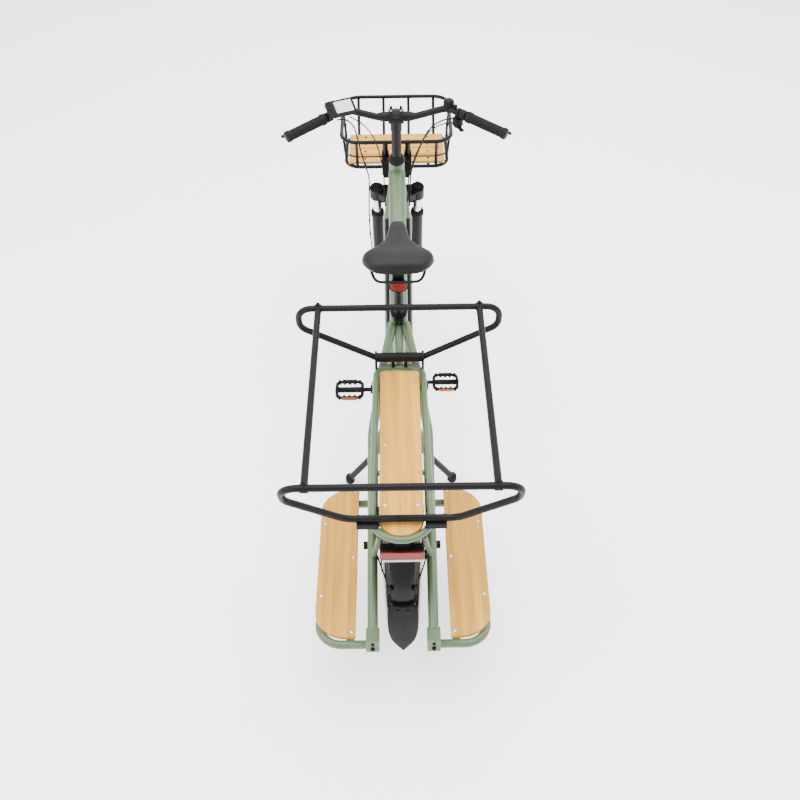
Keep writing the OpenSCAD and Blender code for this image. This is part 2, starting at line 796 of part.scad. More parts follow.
chain_x = 47;
ring_r = 77;
cog_r = 34;
cog_at = rear_axle_at + [chain_x + 8, 0, 0];
guide_at = [cog_at[0], rear_axle_at[1] + 12, rear_axle_at[2] - 62];
tension_at = [cog_at[0], rear_axle_at[1] + 20, rear_axle_at[2] - 112];
jockey_r = 18;

// Points of an arc about a wheel, in the plane of the chain.
function arc_points(at, r, from, to, n) = [for (i = [0 : n]) let (a = from + (to - from) * i / n)
    [at[1] + r * cos(a), at[2] + r * sin(a)]];
chain_h = 7;
chain_w = 5.2;
chain_lean = 3.9;
// One edge of the chain: round the chainring, back over the top and round the sprocket.
function chain_edge(off) = concat(
    [[tension_at[1] - 3, tension_at[2] - jockey_r - 4 - off]],
    arc_points(crank_at, ring_r + 5 + off, -84, 90 + chain_lean, 40),
    arc_points(cog_at, cog_r + 5 + off, 90 + chain_lean, 250, 24));

module chain() {
    inner = chain_edge(-chain_h / 2);
    outer = chain_edge(chain_h / 2);
    color([0.35, 0.33, 0.3]) translate([cog_at[0], 0, 0]) rotate([90, 0, 90])
        linear_extrude(chain_w, center = true)
            polygon(concat(outer, [for (i = [len(inner) - 1 : -1 : 0]) inner[i]]));
}

module rear_derailleur() {
    color(BLACK) {
        difference() {
            union() {
                translate([dropout_in + 2, rear_axle_at[1] - 6, rear_axle_at[2] - 40]) cube([8, 22, 34]);
                x_disc([dropout_in + 4, rear_axle_at[1] + 8, rear_axle_at[2] - 40], 11, 16);
                rod([dropout_in, rear_axle_at[1] + 8, rear_axle_at[2] - 40],
                    [guide_at[0] + 14, guide_at[1], guide_at[2]], 9);
                x_disc([guide_at[0] + 15, guide_at[1], guide_at[2]], 12, 14);
            }
            x_disc(rear_axle_at, 19, 240);
            // room for the swinging cage
            translate(guide_at + [-20, -40, -40]) cube([27, 80, 80]);
        }
    }
}

// The two toothed guide wheels between their two plates.
module derailleur_cage() {
    color(BLACK) {
        for (p = [guide_at, tension_at]) x_disc(p, jockey_r - 1, 4);
        for (x = [-4.5, 4.5]) translate([guide_at[0] + x, 0, 0]) rotate([90, 0, 90])
            linear_extrude(2, center = true) {
                for (p = [guide_at, tension_at]) translate([p[1], p[2]]) circle(9);
                polygon([[guide_at[1] - 8, guide_at[2]], [guide_at[1] + 8, guide_at[2]],
                    [tension_at[1] + 8, tension_at[2]], [tension_at[1] - 8, tension_at[2]]]);
            }
        for (p = [guide_at, tension_at]) x_disc(p, 3, 11);
    }
}

crank_length = 167;
crank_angle = 142.6;
arm_x = 90;

module crank_arm(side) {
    a = side < 0 ? crank_angle : crank_angle - 180;
    difference() {
        union() {
            translate(crank_at + [side * arm_x, 0, 0]) rotate([90, 0, 90])
                linear_extrude(14, center = true) rotate([0, 0, a]) {
                    circle(18);
                    polygon([[0, 17], [crank_length, 12], [crank_length, -12], [0, -17]]);
                    translate([crank_length, 0]) circle(14);
                }
        }
        x_disc(crank_at + [side * arm_x, crank_length * cos(a), crank_length * sin(a)],
            pedal_axle_r + run, 40);
    }
}

pedal_axle_r = 7;

module crankset() {
    color(BLACK) {
        x_disc(crank_at, spindle_r, 2 * arm_x);
        for (side = [-1, 1]) crank_arm(side);
        // chainring with round windows, on a disc that carries it
        difference() {
            union() {
                x_disc(crank_at + [chain_x + 4, 0, 0], ring_r, 4);
                x_disc(crank_at + [66, 0, 0], 24, 34);
            }
            for (a = [0 : 60 : 300])
                x_disc(crank_at + [chain_x, 50 * cos(a), 50 * sin(a)], 14, 14);
        }
        for (t = [0 : 37]) translate(crank_at + [chain_x + 4, 0, 0]) rotate([90, 0, 90])
            rotate([0, 0, t * 360 / 38]) translate([ring_r - 1, -2.2, -1.4]) cube([2.1, 4.4, 2.8]);
    }
}

pedal_w = 96;
pedal_d = 84;
pedal_t = 22;
pedal_x = 166;
pedal_tilt = 4;

// A platform pedal: a frame with two windows, and toothed edges front and rear.
module pedal(side) {
    a = side < 0 ? crank_angle : crank_angle - 180;
    p = crank_at + [0, crank_length * cos(a), crank_length * sin(a)];
    color(BLACK) {
        x_disc(p + [side * (arm_x + 30), 0, 0], pedal_axle_r, 76);
        translate(p + [side * pedal_x, 0, 0]) rotate([pedal_tilt, 0, 0]) difference() {
            union() {
                linear_extrude(pedal_t, center = true) difference() {
                    round_rect(pedal_w, pedal_d, 16);
                    for (y = [-1, 1]) translate([0, y * 22.5]) round_rect(pedal_w - 22, 21, 6);
                }
                for (x = [-33 : 16.5 : 33], y = [-1, 1]) translate([x, y * (pedal_d / 2 - 1), 0])
                    cylinder(h = pedal_t + 4, r = 5.5, center = true);
                rotate([0, 90, 0]) cylinder(h = pedal_w - 6, r = 11.5, center = true);
            }
            translate([-side * pedal_w / 2, 0, 0]) rotate([0, 90, 0])
                cylinder(h = 100, r = pedal_axle_r, center = true);
        }
    }
}

module pedal_left() pedal(-1);
module pedal_right() pedal(1);

// ---------- battery ----------

module battery_pack() {
    color(BLACK) on_down_tube(taper_len + 5) translate([0, down_h / 2 - 13, 0])
        linear_extrude(battery_len - 2) round_rect(battery_w, 38, 12);
}

// ---------- steering ----------

stem_r = 16.5;
stem_base = head_length + 1.2;
bar_along = (bar_height - crown_height) / sin(head_angle);

module stem() {
    color(BLACK) {
        difference() {
            union() {
                on_steering(stem_base) cylinder(h = 26, r1 = 28, r2 = stem_r + 1);
                on_steering(stem_base + 26) cylinder(h = bar_along - stem_base - 60, r = stem_r);
                for (i = [0 : 3]) on_steering(bar_along - 60 + i * 10) cylinder(h = 9.2, r = 18.5);
                on_steering(bar_along - 61) cylinder(h = 44, r = 16);
                on_steering(bar_along - 20) cylinder(h = 36, r = 21);
                translate([0, steer_y(bar_height), bar_height]) rotate([0, 90, 0])
                    cylinder(h = 50, r = 23, center = true);
                for (x = [-16, 16], y = [-17, 17])
                    translate([x, steer_y(bar_height) + y, bar_height + 10]) cylinder(h = 17, r = 4.5);
            }
            on_steering(-10) cylinder(h = 240, r = steerer_r);
            x_disc([0, steer_y(bar_height), bar_height], bar_clamp_r, 80);
        }
    }
}

bar_r = 11.1;
bar_clamp_r = 15.9;
bar_y = steer_y(bar_height);
bar_bend = [165, bar_y + 8, bar_height + 24];
grip_end = [bar_half_width, bar_y - 132, bar_height + 4];
grip_dir = unit(grip_end - bar_bend);
function on_grip(d) = grip_end - grip_dir * d;

module handlebar() {
    color(BLACK) {
        x_disc([0, bar_y, bar_height], bar_clamp_r, 86);
        mirrored() bent_tube([[20, bar_y, bar_height], [62, bar_y, bar_height], bar_bend, grip_end],
            48, bar_r, $fn = 12);
    }
}

grip_length = 132;

module grips() {
    color(SATIN) mirrored() difference() {
        union() {
            rod(on_grip(grip_length), on_grip(-4), 16);
            rod(on_grip(grip_length + 10), on_grip(grip_length - 4), 18);
            rod(on_grip(8), on_grip(-6), 18);
        }
        rod(on_grip(grip_length + 30), on_grip(0), bar_r);
    }
}

crown_drop = 78;
leg_x = 72;
leg_y = 28;
stanchion_r = 15;

module fork_crown() {
    color(BLACK) difference() {
        union() {
            on_steering(-crown_drop + 8) cylinder(h = crown_drop - 8.2, r = 25);
            on_steering(-10) cylinder(h = 206, r = steerer_r);
            on_steering(-crown_drop + 6) linear_extrude(32) crown_plan();
            mirrored() on_steering(-crown_drop) translate([leg_x, leg_y, 0]) cylinder(h = 46, r = 24);
        }
        mirrored() on_steering(-crown_drop - 42) translate([leg_x, leg_y, 0]) cylinder(h = 128, r = stanchion_r);
    }
}

module crown_plan() {
    polygon([[-leg_x, leg_y + 20], [leg_x, leg_y + 20], [leg_x, leg_y - 20], [24, -20], [-24, -20],
        [-leg_x, leg_y - 20]]);
}

module stanchions() {
    color(STEEL) mirrored() on_steering(-300) translate([leg_x, leg_y, 0])
        cylinder(h = 300 - crown_drop + 38, r = stanchion_r);
}

leg_r = 21;
leg_top = -crown_drop - 84;

module fork_legs() {
    hub_z = -axle_drop;
    color(BLACK) difference() {
        union() {
            mirrored() on_steering() {
                translate([leg_x, leg_y, hub_z - 4]) cylinder(h = leg_top - hub_z + 4, r = leg_r);
                translate([leg_x, leg_y, leg_top - 16]) cylinder(h = 16, r = leg_r + 3);
                translate([leg_x - 7, leg_y, hub_z - 16]) cube([14, fork_rake - leg_y + 12, 46]);
            }
            // the arch that ties both legs, ahead of and above the tyre
            on_steering() {
                mirrored() rod([leg_x, leg_y + 12, leg_top - 50], [leg_x - 3, leg_y + 24, arch_z + 6],
                    8, $fn = 12);
                rod([-leg_x, leg_y + 24, arch_z], [leg_x, leg_y + 24, arch_z], 8.5, $fn = 12);
            }
            x_disc(front_axle, axle_r, 150);
        }
        mirrored() on_steering() translate([leg_x, leg_y, hub_z + 120])
            cylinder(h = leg_top - hub_z, r = stanchion_r + run);
    }
}

arch_z = leg_top + 30;

module front_mudguard() {
    r = front_r + 9;
    color(BLACK) {
        mudguard(front_axle, r, 62, 28, 128);
        mirrored() for (a = [38, 60]) let (from = r - 2)
            rod(front_axle + [28, -from * cos(a), from * sin(a)], front_axle + [54, a / 3 - 18, 22], 2.4);
    }
}

module front_caliper() {
    p = front_axle + [-44, -70, 52];
    color(BLACK) difference() {
        union() {
            translate(p + [-14, -22, -18]) cube([28, 42, 44]);
        }
        translate(p + [-2, -60, -80]) cube([4, 130, 92]);
    }
}

module lockout_knob() {
    color(BLACK) {
        on_steering(-crown_drop + 46.5) translate([leg_x, leg_y, 0]) cylinder(h = 9, r = 15);
        on_steering(-crown_drop + 50) translate([leg_x - 3, leg_y, 0]) cube([6, 21, 5]);
    }
}

// ---------- controls ----------

clamp_d = 158;

// Points near a grip: d back from its end, f forward of the bar, z above it.
function near_grip(d, f, z) = on_grip(d) + [0.62 * f, 0.78 * f, z];

module lever_clamps() {
    color(BLACK) {
        mirrored() difference() {
            union() {
                rod(on_grip(clamp_d + 10), on_grip(clamp_d - 10), 16);
                rod(on_grip(clamp_d), near_grip(clamp_d + 4, 32, -18), 10);
                rod(near_grip(clamp_d + 22, 34, -16), near_grip(clamp_d - 6, 34, -20), 9);
            }
            rod(on_grip(clamp_d + 40), on_grip(clamp_d - 40), bar_r);
            x_lever_room();
        }
        // thumb shifter's case, on the right
        difference() {
            union() {
                rod(on_grip(clamp_d - 14 + 38), on_grip(clamp_d - 24 + 38), 15.5);
                rod(near_grip(clamp_d + 18, -6, -15), near_grip(clamp_d + 18, -6, -38), 17);
            }
            rod(on_grip(clamp_d + 80), on_grip(clamp_d - 40), bar_r);
        }
    }
}

lever_pivot = near_grip(clamp_d - 22, 36, -20);

// Room for the brake lever's root.
module x_lever_room() {
    translate(lever_pivot) cylinder(h = 30, r = 12, center = true);
}

module brake_lever() {
    tip = near_grip(8, 52, -26);
    knee = near_grip(clamp_d - 50, 56, -24);
    color(BLACK) bent_tube([lever_pivot, knee, tip], 14, 5, $fn = 12);
    color(BLACK) translate(lever_pivot) cylinder(h = 12, r = 9, center = true);
}

module brake_lever_right() brake_lever();
module brake_lever_left() mirror([1, 0, 0]) brake_lever();

shift_pivot = near_grip(clamp_d + 18, -6, -41);

module shift_lever() {
    color(BLACK) {
        translate(shift_pivot + [0, 0, -4]) cylinder(h = 6, r = 12);
        translate(shift_pivot + [0, 0, -1]) rotate([0, 0, -70]) translate([0, -6, -3]) cube([38, 12, 6]);
    }
}

bell_at = on_grip(clamp_d + 62) + [2, 2, 8];

module bell_base() {
    color(BLACK) difference() {
        union() {
            rod(on_grip(clamp_d + 56), on_grip(clamp_d + 68), 15);
            translate(bell_at) cylinder(h = 15, r = 17);
            translate(bell_at + [0, 0, 15]) cylinder(h = 6, r1 = 17, r2 = 11);
            translate(bell_at + [0, 0, -8]) cylinder(h = 9, r = 7);
        }
        rod(on_grip(clamp_d + 120), on_grip(clamp_d + 20), bar_r);
    }
}

module bell_striker() {
    color(BLACK) translate(bell_at + [0, 0, 4]) rotate([0, 0, -50]) {
        translate([19, -3.5, 0]) cube([13, 7, 4]);
        translate([32, 0, 0]) cylinder(h = 9, r = 6);
    }
}

screen_at = left_right(on_grip(clamp_d + 34)) + [14, -16, 24];

// Places its children on the display's own face, leaning towards the rider.
module on_display() {
    translate(screen_at) rotate([0, 0, 24]) rotate([30, 0, 0]) children();
}

module display_unit() {
    color(BLACK) difference() {
        union() {
            on_display() linear_extrude(13, center = true) round_rect(92, 56, 7);
            on_display() translate([0, 0, -16]) cylinder(h = 12, r = 9);
            mirror([1, 0, 0]) rod(on_grip(clamp_d + 24), on_grip(clamp_d + 44), 15);
        }
        mirror([1, 0, 0]) rod(on_grip(clamp_d + 80), on_grip(clamp_d), bar_r);
        on_display() translate([button_x, 0, 5.5]) cylinder(h = 6, r = 6);
    }
    color([0.72, 0.8, 0.74]) on_display() translate([9, 0, 6.5]) linear_extrude(0.8)
        round_rect(58, 42, 2);
}

button_x = -36;

module display_button() {
    color(SATIN) on_display() translate([button_x, 0, 7.2]) cylinder(h = 2, r = 5.5);
}

// ---------- cables ----------

hose_r = 2.5;
// From the left lever, round ahead of the bar and down the left fork leg to its caliper.
front_hose_route = [[-190, 395, 1104], [-165, 420, 1092], [-140, 435, 1060], [-128, 442, 1010],
    [-118, 455, 950], [-106, 475, 890], [-98, 500, 840], [-97, 525, 790], [-99, 540, 750],
    [-101, 556, 700], [-102, 574, 640], [-102, 594, 570], [-100, 610, 505], [-93, 622, 450],
    [-64, 633, 413]];
// From the right lever and shifter, down beside the head tube and into the down tube.
rear_hose_route = [[190, 395, 1104], [150, 420, 1084], [110, 430, 1050], [84, 428, 1000],
    [66, 432, 950], [52, 440, 900], [46, 440, 860], [44, 425, 815], [42, 405, 775]];
display_lead_route = [[-150, 402, 1112], [-110, 408, 1082], [-80, 414, 1040], [-62, 420, 990],
    [-52, 428, 940], [-46, 434, 895], [-44, 436, 860], [-43, 424, 815], [-41, 404, 775]];

module front_brake_hose() {
    color(BLACK) cable(front_hose_route, hose_r);
}

module control_cables() {
    color(BLACK) cable(rear_hose_route, hose_r);
    color(BLACK) cable(display_lead_route, 2);
}

// ---------- wheels ----------

// A tyre standing on a rim of radius bed.
module tyre(at, r, w, bed) {
    color(TAN) translate(at) rotate([0, 90, 0]) rotate_extrude($fn = 120) difference() {
        translate([r - w / 2, 0]) circle(w / 2);
        translate([0, -w]) square([bed, 2 * w]);
        translate([bed + (r - bed) * 0.45, 0]) circle((r - bed) * 0.34);
        translate([bed - 1, -w / 5]) square([(r - bed) * 0.3, 2 * w / 5]);
    }
}

module wheel_rim(at, bed, w, depth) {
    color(BLACK) translate(at) rotate([0, 90, 0]) rotate_extrude($fn = 120)
        polygon([[bed, -w / 2], [bed - depth, -w / 2], [bed - depth - 9, -w / 5],
            [bed - depth - 9, w / 5], [bed - depth, w / 2], [bed, w / 2]]);
}

module spokes(at, hub_r, hub_x, rim_r) {
    for (i = [0 : spoke_count - 1]) let (s = i % 2 == 0 ? -1 : 1, a = i * 360 / spoke_count,
            lean = (floor(i / 2) % 2 == 0 ? -1 : 1) * 40)
        rod(at + [s * hub_x, hub_r * cos(a + lean), hub_r * sin(a + lean)],
            at + [0, rim_r * cos(a), rim_r * sin(a)], 1);
}

module brake_disc(at, x, r) {
    translate(at + [x, 0, 0]) rotate([0, 90, 0]) difference() {
        cylinder(h = 2, r = r, center = true);
        for (a = [0 : 60 : 300]) rotate([0, 0, a]) translate([r * 0.58, 0, -2]) cylinder(h = 4, r = r * 0.19);
        cylinder(h = 4, r = 10, center = true);
    }
}

front_bed = 281;
rear_bed = 208;
front_disc_x = -44;

module front_tyre() tyre(front_axle, front_r, front_tyre_w, front_bed);
module front_rim() wheel_rim(front_axle, front_bed, 30, 8);
module rear_tyre() tyre(rear_axle_at, rear_r, rear_tyre_w, rear_bed);
module rear_rim() wheel_rim(rear_axle_at, rear_bed, 36, 8);

module front_hub() {
    color(STEEL) difference() {
        union() {
            x_disc(front_axle, 14, 94);
            for (x = [-26, 26]) x_disc(front_axle + [x, 0, 0], 26, 4);
            spokes(front_axle, 22, 26, front_bed - 16);
            brake_disc(front_axle, front_disc_x, disc_r);
        }
        x_disc(front_axle, axle_r + run, 200);
    }
}

module rear_hub() {
    color(SATIN) difference() {
        union() {
            x_disc(rear_axle_at, 64, 66);
            x_disc(rear_axle_at, 20, 132);
            for (x = [-28, 28]) x_disc(rear_axle_at + [x, 0, 0], 74, 5);
            spokes(rear_axle_at, 70, 28, rear_bed - 16);
            brake_disc(rear_axle_at, -disc_x, disc_r);
            for (i = [0 : 4]) x_disc(rear_axle_at + [chain_x - 4 + i * 4, 0, 0], 52 - i * 6, 2);
        }
        x_disc(rear_axle_at, axle_r + run, 240);
    }
}

front_frame();
rear_frame();
rack_loop();
footboard_frame();
deck_board();
footboard_left();
footboard_right();
board_screws();
front_hoop();
rear_hoop();
side_rails();
hoop_brackets();
basket_frame();
basket_floor();
basket_mount();
bearing_cups();
rear_mudguard();
mud_flap();
rear_light();
wheel_guards();
rear_caliper();
kickstand_bracket();
rear_axle();
chain();
rear_derailleur();
seat_clamp();
headlight();
control_cables();
battery_pack();
stem();
handlebar();
grips();
fork_crown();
stanchions();
lever_clamps();
display_unit();
bell_base();
front_brake_hose();
lockout_knob();
brake_lever_left();
brake_lever_right();
shift_lever();
bell_striker();
display_button();
fork_legs();
front_caliper();
front_mudguard();
front_tyre();
front_rim();
front_hub();
rear_tyre();
rear_rim();
rear_hub();
crankset();
pedal_left();
pedal_right();
kickstand_legs();
seatpost();
saddle();
derailleur_cage();
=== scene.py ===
import bpy
import json
import math
import random
from mathutils import Matrix, Vector


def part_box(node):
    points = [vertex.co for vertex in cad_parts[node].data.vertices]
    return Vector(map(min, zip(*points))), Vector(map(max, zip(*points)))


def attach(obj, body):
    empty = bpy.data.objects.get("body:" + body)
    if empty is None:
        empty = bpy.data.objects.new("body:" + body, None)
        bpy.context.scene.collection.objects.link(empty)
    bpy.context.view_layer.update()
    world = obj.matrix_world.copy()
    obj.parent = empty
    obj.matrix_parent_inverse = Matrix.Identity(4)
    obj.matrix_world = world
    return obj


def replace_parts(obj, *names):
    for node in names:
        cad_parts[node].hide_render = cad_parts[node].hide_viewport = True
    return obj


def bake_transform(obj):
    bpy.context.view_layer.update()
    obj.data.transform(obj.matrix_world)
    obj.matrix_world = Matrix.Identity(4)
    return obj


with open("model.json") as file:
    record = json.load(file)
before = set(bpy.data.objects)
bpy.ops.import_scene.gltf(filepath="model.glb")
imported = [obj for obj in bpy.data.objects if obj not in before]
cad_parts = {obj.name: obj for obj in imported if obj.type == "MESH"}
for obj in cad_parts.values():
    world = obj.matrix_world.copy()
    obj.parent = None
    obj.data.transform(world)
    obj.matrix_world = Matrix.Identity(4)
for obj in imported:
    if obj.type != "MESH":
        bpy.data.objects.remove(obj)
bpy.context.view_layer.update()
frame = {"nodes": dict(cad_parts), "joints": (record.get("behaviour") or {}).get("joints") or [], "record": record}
RNG = random.Random(7)
NODES = frame["nodes"]
BODY_OF = {n: b for b, ns in frame["record"]["behaviour"]["bodies"].items() for n in ns}
X, Y, Z = Vector((1, 0, 0)), Vector((0, 1, 0)), Vector((0, 0, 1))


# ---------- materials ----------

class Shader:
    """A material whose nodes are added one line at a time."""

    def __init__(self, name):
        self.mat = bpy.data.materials.new(name)
        self.mat.use_nodes = True
        self.tree = self.mat.node_tree
        self.bsdf = self.tree.nodes["Principled BSDF"]
        self.coords = self.add("ShaderNodeTexCoord").outputs["Object"]

    def add(self, kind, **values):
        node = self.tree.nodes.new(kind)
        for key, value in values.items():
            if hasattr(node, key):
                setattr(node, key, value)
            else:
                node.inputs[key.replace("_", " ")].default_value = value
        return node

    def link(self, a, b):
        self.tree.links.new(a, b)

    def set(self, **values):
        for key, value in values.items():
            self.bsdf.inputs[key.replace("_", " ")].default_value = value

    def scaled(self, scale, turn=(0, 0, 0)):
        m = self.add("ShaderNodeMapping")
        m.inputs["Scale"].default_value = scale
        m.inputs["Rotation"].default_value = turn
        self.link(self.coords, m.inputs["Vector"])
        return m.outputs["Vector"]

    def noise(self, scale, detail=3.0, rough=0.55, vector=None, distortion=0.0):
        n = self.add("ShaderNodeTexNoise")
        n.inputs["Scale"].default_value = scale
        n.inputs["Detail"].default_value = detail
        n.inputs["Roughness"].default_value = rough
        n.inputs["Distortion"].default_value = distortion
        self.link(vector or self.coords, n.inputs["Vector"])
        return n.outputs["Fac"]

    def ramp(self, fac, stops):
        r = self.add("ShaderNodeValToRGB")
        while len(r.color_ramp.elements) < len(stops):
            r.color_ramp.elements.new(0.5)
        for e, (place, colour) in zip(r.color_ramp.elements, stops):
            e.position = place
            e.color = (*colour, 1) if len(colour) == 3 else (colour[0],) * 3 + (1,)
        self.link(fac, r.inputs["Fac"])
        return r.outputs["Color"]

    def spread(self, fac, low, high):
        m = self.add("ShaderNodeMapRange")
        m.inputs["To Min"].default_value = low
        m.inputs["To Max"].default_value = high
        self.link(fac, m.inputs["Value"])
        return m.outputs["Result"]

    def mix(self, fac, a, b, mode="MIX"):
        m = self.add("ShaderNodeMix", data_type="RGBA", blend_type=mode)
        for socket, value in ((m.inputs[0], fac), (m.inputs[6], a), (m.inputs[7], b)):
            if isinstance(value, (int, float)):
                socket.default_value = value
            elif isinstance(value, tuple):
                socket.default_value = (*value, 1)
            else:
                self.link(value, socket)
        return m.outputs[2]

    def bump(self, height, strength, distance):
        b = self.add("ShaderNodeBump")
        b.inputs["Strength"].default_value = strength
        b.inputs["Distance"].default_value = distance
        self.link(height, b.inputs["Height"])
        last = self.bsdf.inputs["Normal"].links
        if last:
            self.link(last[0].from_socket, b.inputs["Normal"])
        self.link(b.outputs["Normal"], self.bsdf.inputs["Normal"])


def painted(name, colour, rough, coat=0.0, metallic=0.0, grain=900, depth=0.00008, vary=0.06):
    """Paint, plastic or metal: a slight cloudiness, fine grain and uneven gloss."""
    s = Shader(name)
    s.set(Metallic=metallic, Coat_Weight=coat, Coat_Roughness=0.12)
    if max(colour) < 0.05:  # black pieces reflect little of the bright room
        s.set(Specular_IOR_Level=0.09, Coat_Weight=coat * 0.3)
    dark = tuple(c * (1 - vary) for c in colour)
    light = tuple(min(1, c * (1 + vary)) for c in colour)
    cloud = s.noise(9, 4)
    s.link(s.ramp(cloud, [(0.3, dark), (0.7, light)]), s.bsdf.inputs["Base Color"])
    s.link(s.spread(s.noise(30, 3), rough - 0.06, rough + 0.08), s.bsdf.inputs["Roughness"])
    s.bump(s.noise(grain, 2), 0.25, depth)
    return s


def wood(name, along, seed):
    """Bamboo lamella board: strips laid side by side, streaky fibres and small dark knots."""
    s = Shader(name)
    across = 0 if along == 1 else 1
    fine, broad, knots = [0, 0, 0], [0, 0, 0], [0, 0, 0]
    fine[along], fine[across], fine[2] = 7, 420, 420
    broad[along], broad[across], broad[2] = 1.6, 52, 52
    knots[along], knots[across], knots[2] = 26, 95, 60
    fibre = s.noise(1, 4, 0.6, s.scaled(tuple(fine)))
    strip = s.noise(1, 1, 0.4, s.scaled(tuple(broad)))
    spots = s.add("ShaderNodeTexVoronoi", feature="F1")
    spots.inputs["Scale"].default_value = 1
    s.link(s.scaled(tuple(knots)), spots.inputs["Vector"])
    base = s.ramp(strip, [(0.3, (0.42, 0.205, 0.014)), (0.5, (0.52, 0.262, 0.022)), (0.7, (0.61, 0.320, 0.036))])
    lined = s.mix(0.6, base, s.ramp(fibre, [(0.32, (0.66, 0.58, 0.46)), (0.62, (1, 1, 1))]), "MULTIPLY")
    dots = s.ramp(spots.outputs["Distance"], [(0.05, (1,)), (0.16, (0,))])
    rare = s.ramp(s.noise(60, 2), [(0.50, (0,)), (0.58, (1,))])
    fac = s.mix(1.0, dots, rare, "MULTIPLY")
    s.link(s.mix(s.mix(1.0, fac, (0.75, 0.75, 0.75), "MULTIPLY"), lined, (0.24, 0.09, 0.02)),
           s.bsdf.inputs["Base Color"])
    s.link(s.spread(fibre, 0.42, 0.6), s.bsdf.inputs["Roughness"])
    s.set(Coat_Weight=0.06, Coat_Roughness=0.35, Specular_IOR_Level=0.3)
    s.bump(fibre, 0.25, 0.0002)
    return s


SAGE = painted("sage_paint", (0.058, 0.098, 0.042), 0.40, coat=0.04, vary=0.04)
BLACK = painted("black_paint", (0.0058, 0.0058, 0.0062), 0.42, coat=0.08, grain=1500, depth=0.00012)
METAL = painted("black_metal", (0.0065, 0.0065, 0.0070), 0.38, metallic=0.2)
PLASTIC = painted("black_plastic", (0.0055, 0.0055, 0.0060), 0.50, grain=1600, depth=0.00012)
GLOSS = painted("gloss_plastic", (0.006, 0.006, 0.0065), 0.20, coat=0.5, grain=500, depth=0.00005)
RUBBER = painted("black_rubber", (0.007, 0.007, 0.0075), 0.66, grain=1300, depth=0.0002)
FLAP = painted("flap_rubber", (0.0045, 0.0045, 0.005), 0.52, grain=500, depth=0.0003)
STEEL = painted("steel", (0.50, 0.50, 0.51), 0.30, metallic=1.0)
CHROME = painted("bright_tube", (0.72, 0.72, 0.74), 0.12, metallic=1.0, vary=0.02)
CHAIN = painted("chain_steel", (0.16, 0.15, 0.14), 0.42, metallic=0.9)
HUB = painted("hub_metal", (0.02, 0.02, 0.022), 0.38, metallic=0.5)
WOOD = {n: wood("bamboo_" + n, a, i) for i, (n, a) in enumerate(
    (("deck", 1), ("left", 1), ("right", 1), ("basket", 0)))}


# ---------- building helpers, in millimetres ----------

def P(x, y, z):
    return Vector((x, y, z)) / 1000


def add_mesh(name, verts, faces, mat, body, smooth=True, bevel=0.0):
    mesh = bpy.data.meshes.new(name)
    mesh.from_pydata([tuple(v) for v in verts], [], faces)
    mesh.validate()
    obj = bpy.data.objects.new(name, mesh)
    bpy.context.scene.collection.objects.link(obj)
    for m in (mat if isinstance(mat, list) else [mat]):
        mesh.materials.append(m.mat)
    for f in mesh.polygons:
        f.use_smooth = smooth
    if bevel:
        b = obj.modifiers.new("edge", "BEVEL")
        b.width = bevel / 1000
        b.segments = 3
        b.limit_method = "ANGLE"
        b.angle_limit = math.radians(38)
        b.harden_normals = True
    if body:
        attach(obj, body)
    return obj


def rounded(points, bend, steps=10):
    """A path in metres through the corners in points, each corner rounded to the bend radius."""
    pts = [Vector(p) / 1000 for p in points]
    out = [pts[0]]
    for i in range(1, len(pts) - 1):
        a, b, c = pts[i - 1:i + 2]
        u, v = (b - a).normalized(), (c - b).normalized()
        turn = math.acos(max(-1, min(1, u.dot(v))))
        if turn < 0.02:
            out.append(b)
            continue
        cut = min(bend / 1000 * math.tan(turn / 2), (b - a).length * 0.5, (c - b).length * 0.5)
        r = cut / math.tan(turn / 2)
        start = b - u * cut
        side = (v - u * u.dot(v)).normalized()
        for k in range(steps + 1):
            t = turn * k / steps
            out.append(start + u * r * math.sin(t) + side * r * (1 - math.cos(t)))
    out.append(pts[-1])
    return out


def smooth_path(points, steps=8):
    """A smooth curve in metres through the points."""
    p = [Vector(q) / 1000 for q in points]
    out = []
    for i in range(len(p) - 1):
        a, b, c, d = p[max(i - 1, 0)], p[i], p[i + 1], p[min(i + 2, len(p) - 1)]
        for k in range(steps):
            t = k / steps
            out.append(0.5 * (2 * b + (c - a) * t + (2 * a - 5 * b + 4 * c - d) * t * t
                              + (3 * b - a - 3 * c + d) * t ** 3))
    return out + [p[-1]]


def sweep_data(path, r, sides=20, closed=False):
    """Vertices and faces of a round tube along a path in metres; r is one radius or one for each point."""
    n = len(path)
    radii = r if isinstance(r, list) else [r] * n
    verts, faces = [], []
    normal = None
    for i, p in enumerate(path):
        before = path[i - 1] if (i or closed) else p
        after = path[(i + 1) % n] if (i < n - 1 or closed) else p
        d = (after - before).normalized()
        if normal is None:
            normal = d.orthogonal().normalized()
        normal = (normal - d * normal.dot(d)).normalized()
        other = d.cross(normal)
        for k in range(sides):
            a = 2 * math.pi * k / sides
            verts.append(p + (normal * math.cos(a) + other * math.sin(a)) * radii[i] / 1000)
    rings = n if closed else n - 1
    for i in range(rings):
        for k in range(sides):
            j, m = (i + 1) % n, (k + 1) % sides
            faces.append((i * sides + k, i * sides + m, j * sides + m, j * sides + k))
    if not closed:
        faces.append(tuple(range(sides)))
        faces.append(tuple((n - 1) * sides + k for k in reversed(range(sides))))
    return verts, faces


def gather(parts):
    """Several (verts, faces) lists as one."""
    verts, faces = [], []
    for v, f in parts:
        base = len(verts)
        verts += v
        faces += [tuple(i + base for i in g) for g in f]
    return verts, faces


def flipped(part):
    v, f = part
    return [Vector((-p.x, p.y, p.z)) for p in v], [tuple(reversed(g)) for g in f]


def pair(part):
    return gather([part, flipped(part)])


def basis(axis, hint=Z):
    """Two directions across an axis."""
    axis = Vector(axis).normalized()
    if abs(axis.dot(hint)) > 0.99:
        hint = Y
    u = (hint - axis * axis.dot(hint)).normalized()
    return axis.cross(u).normalized(), u, axis


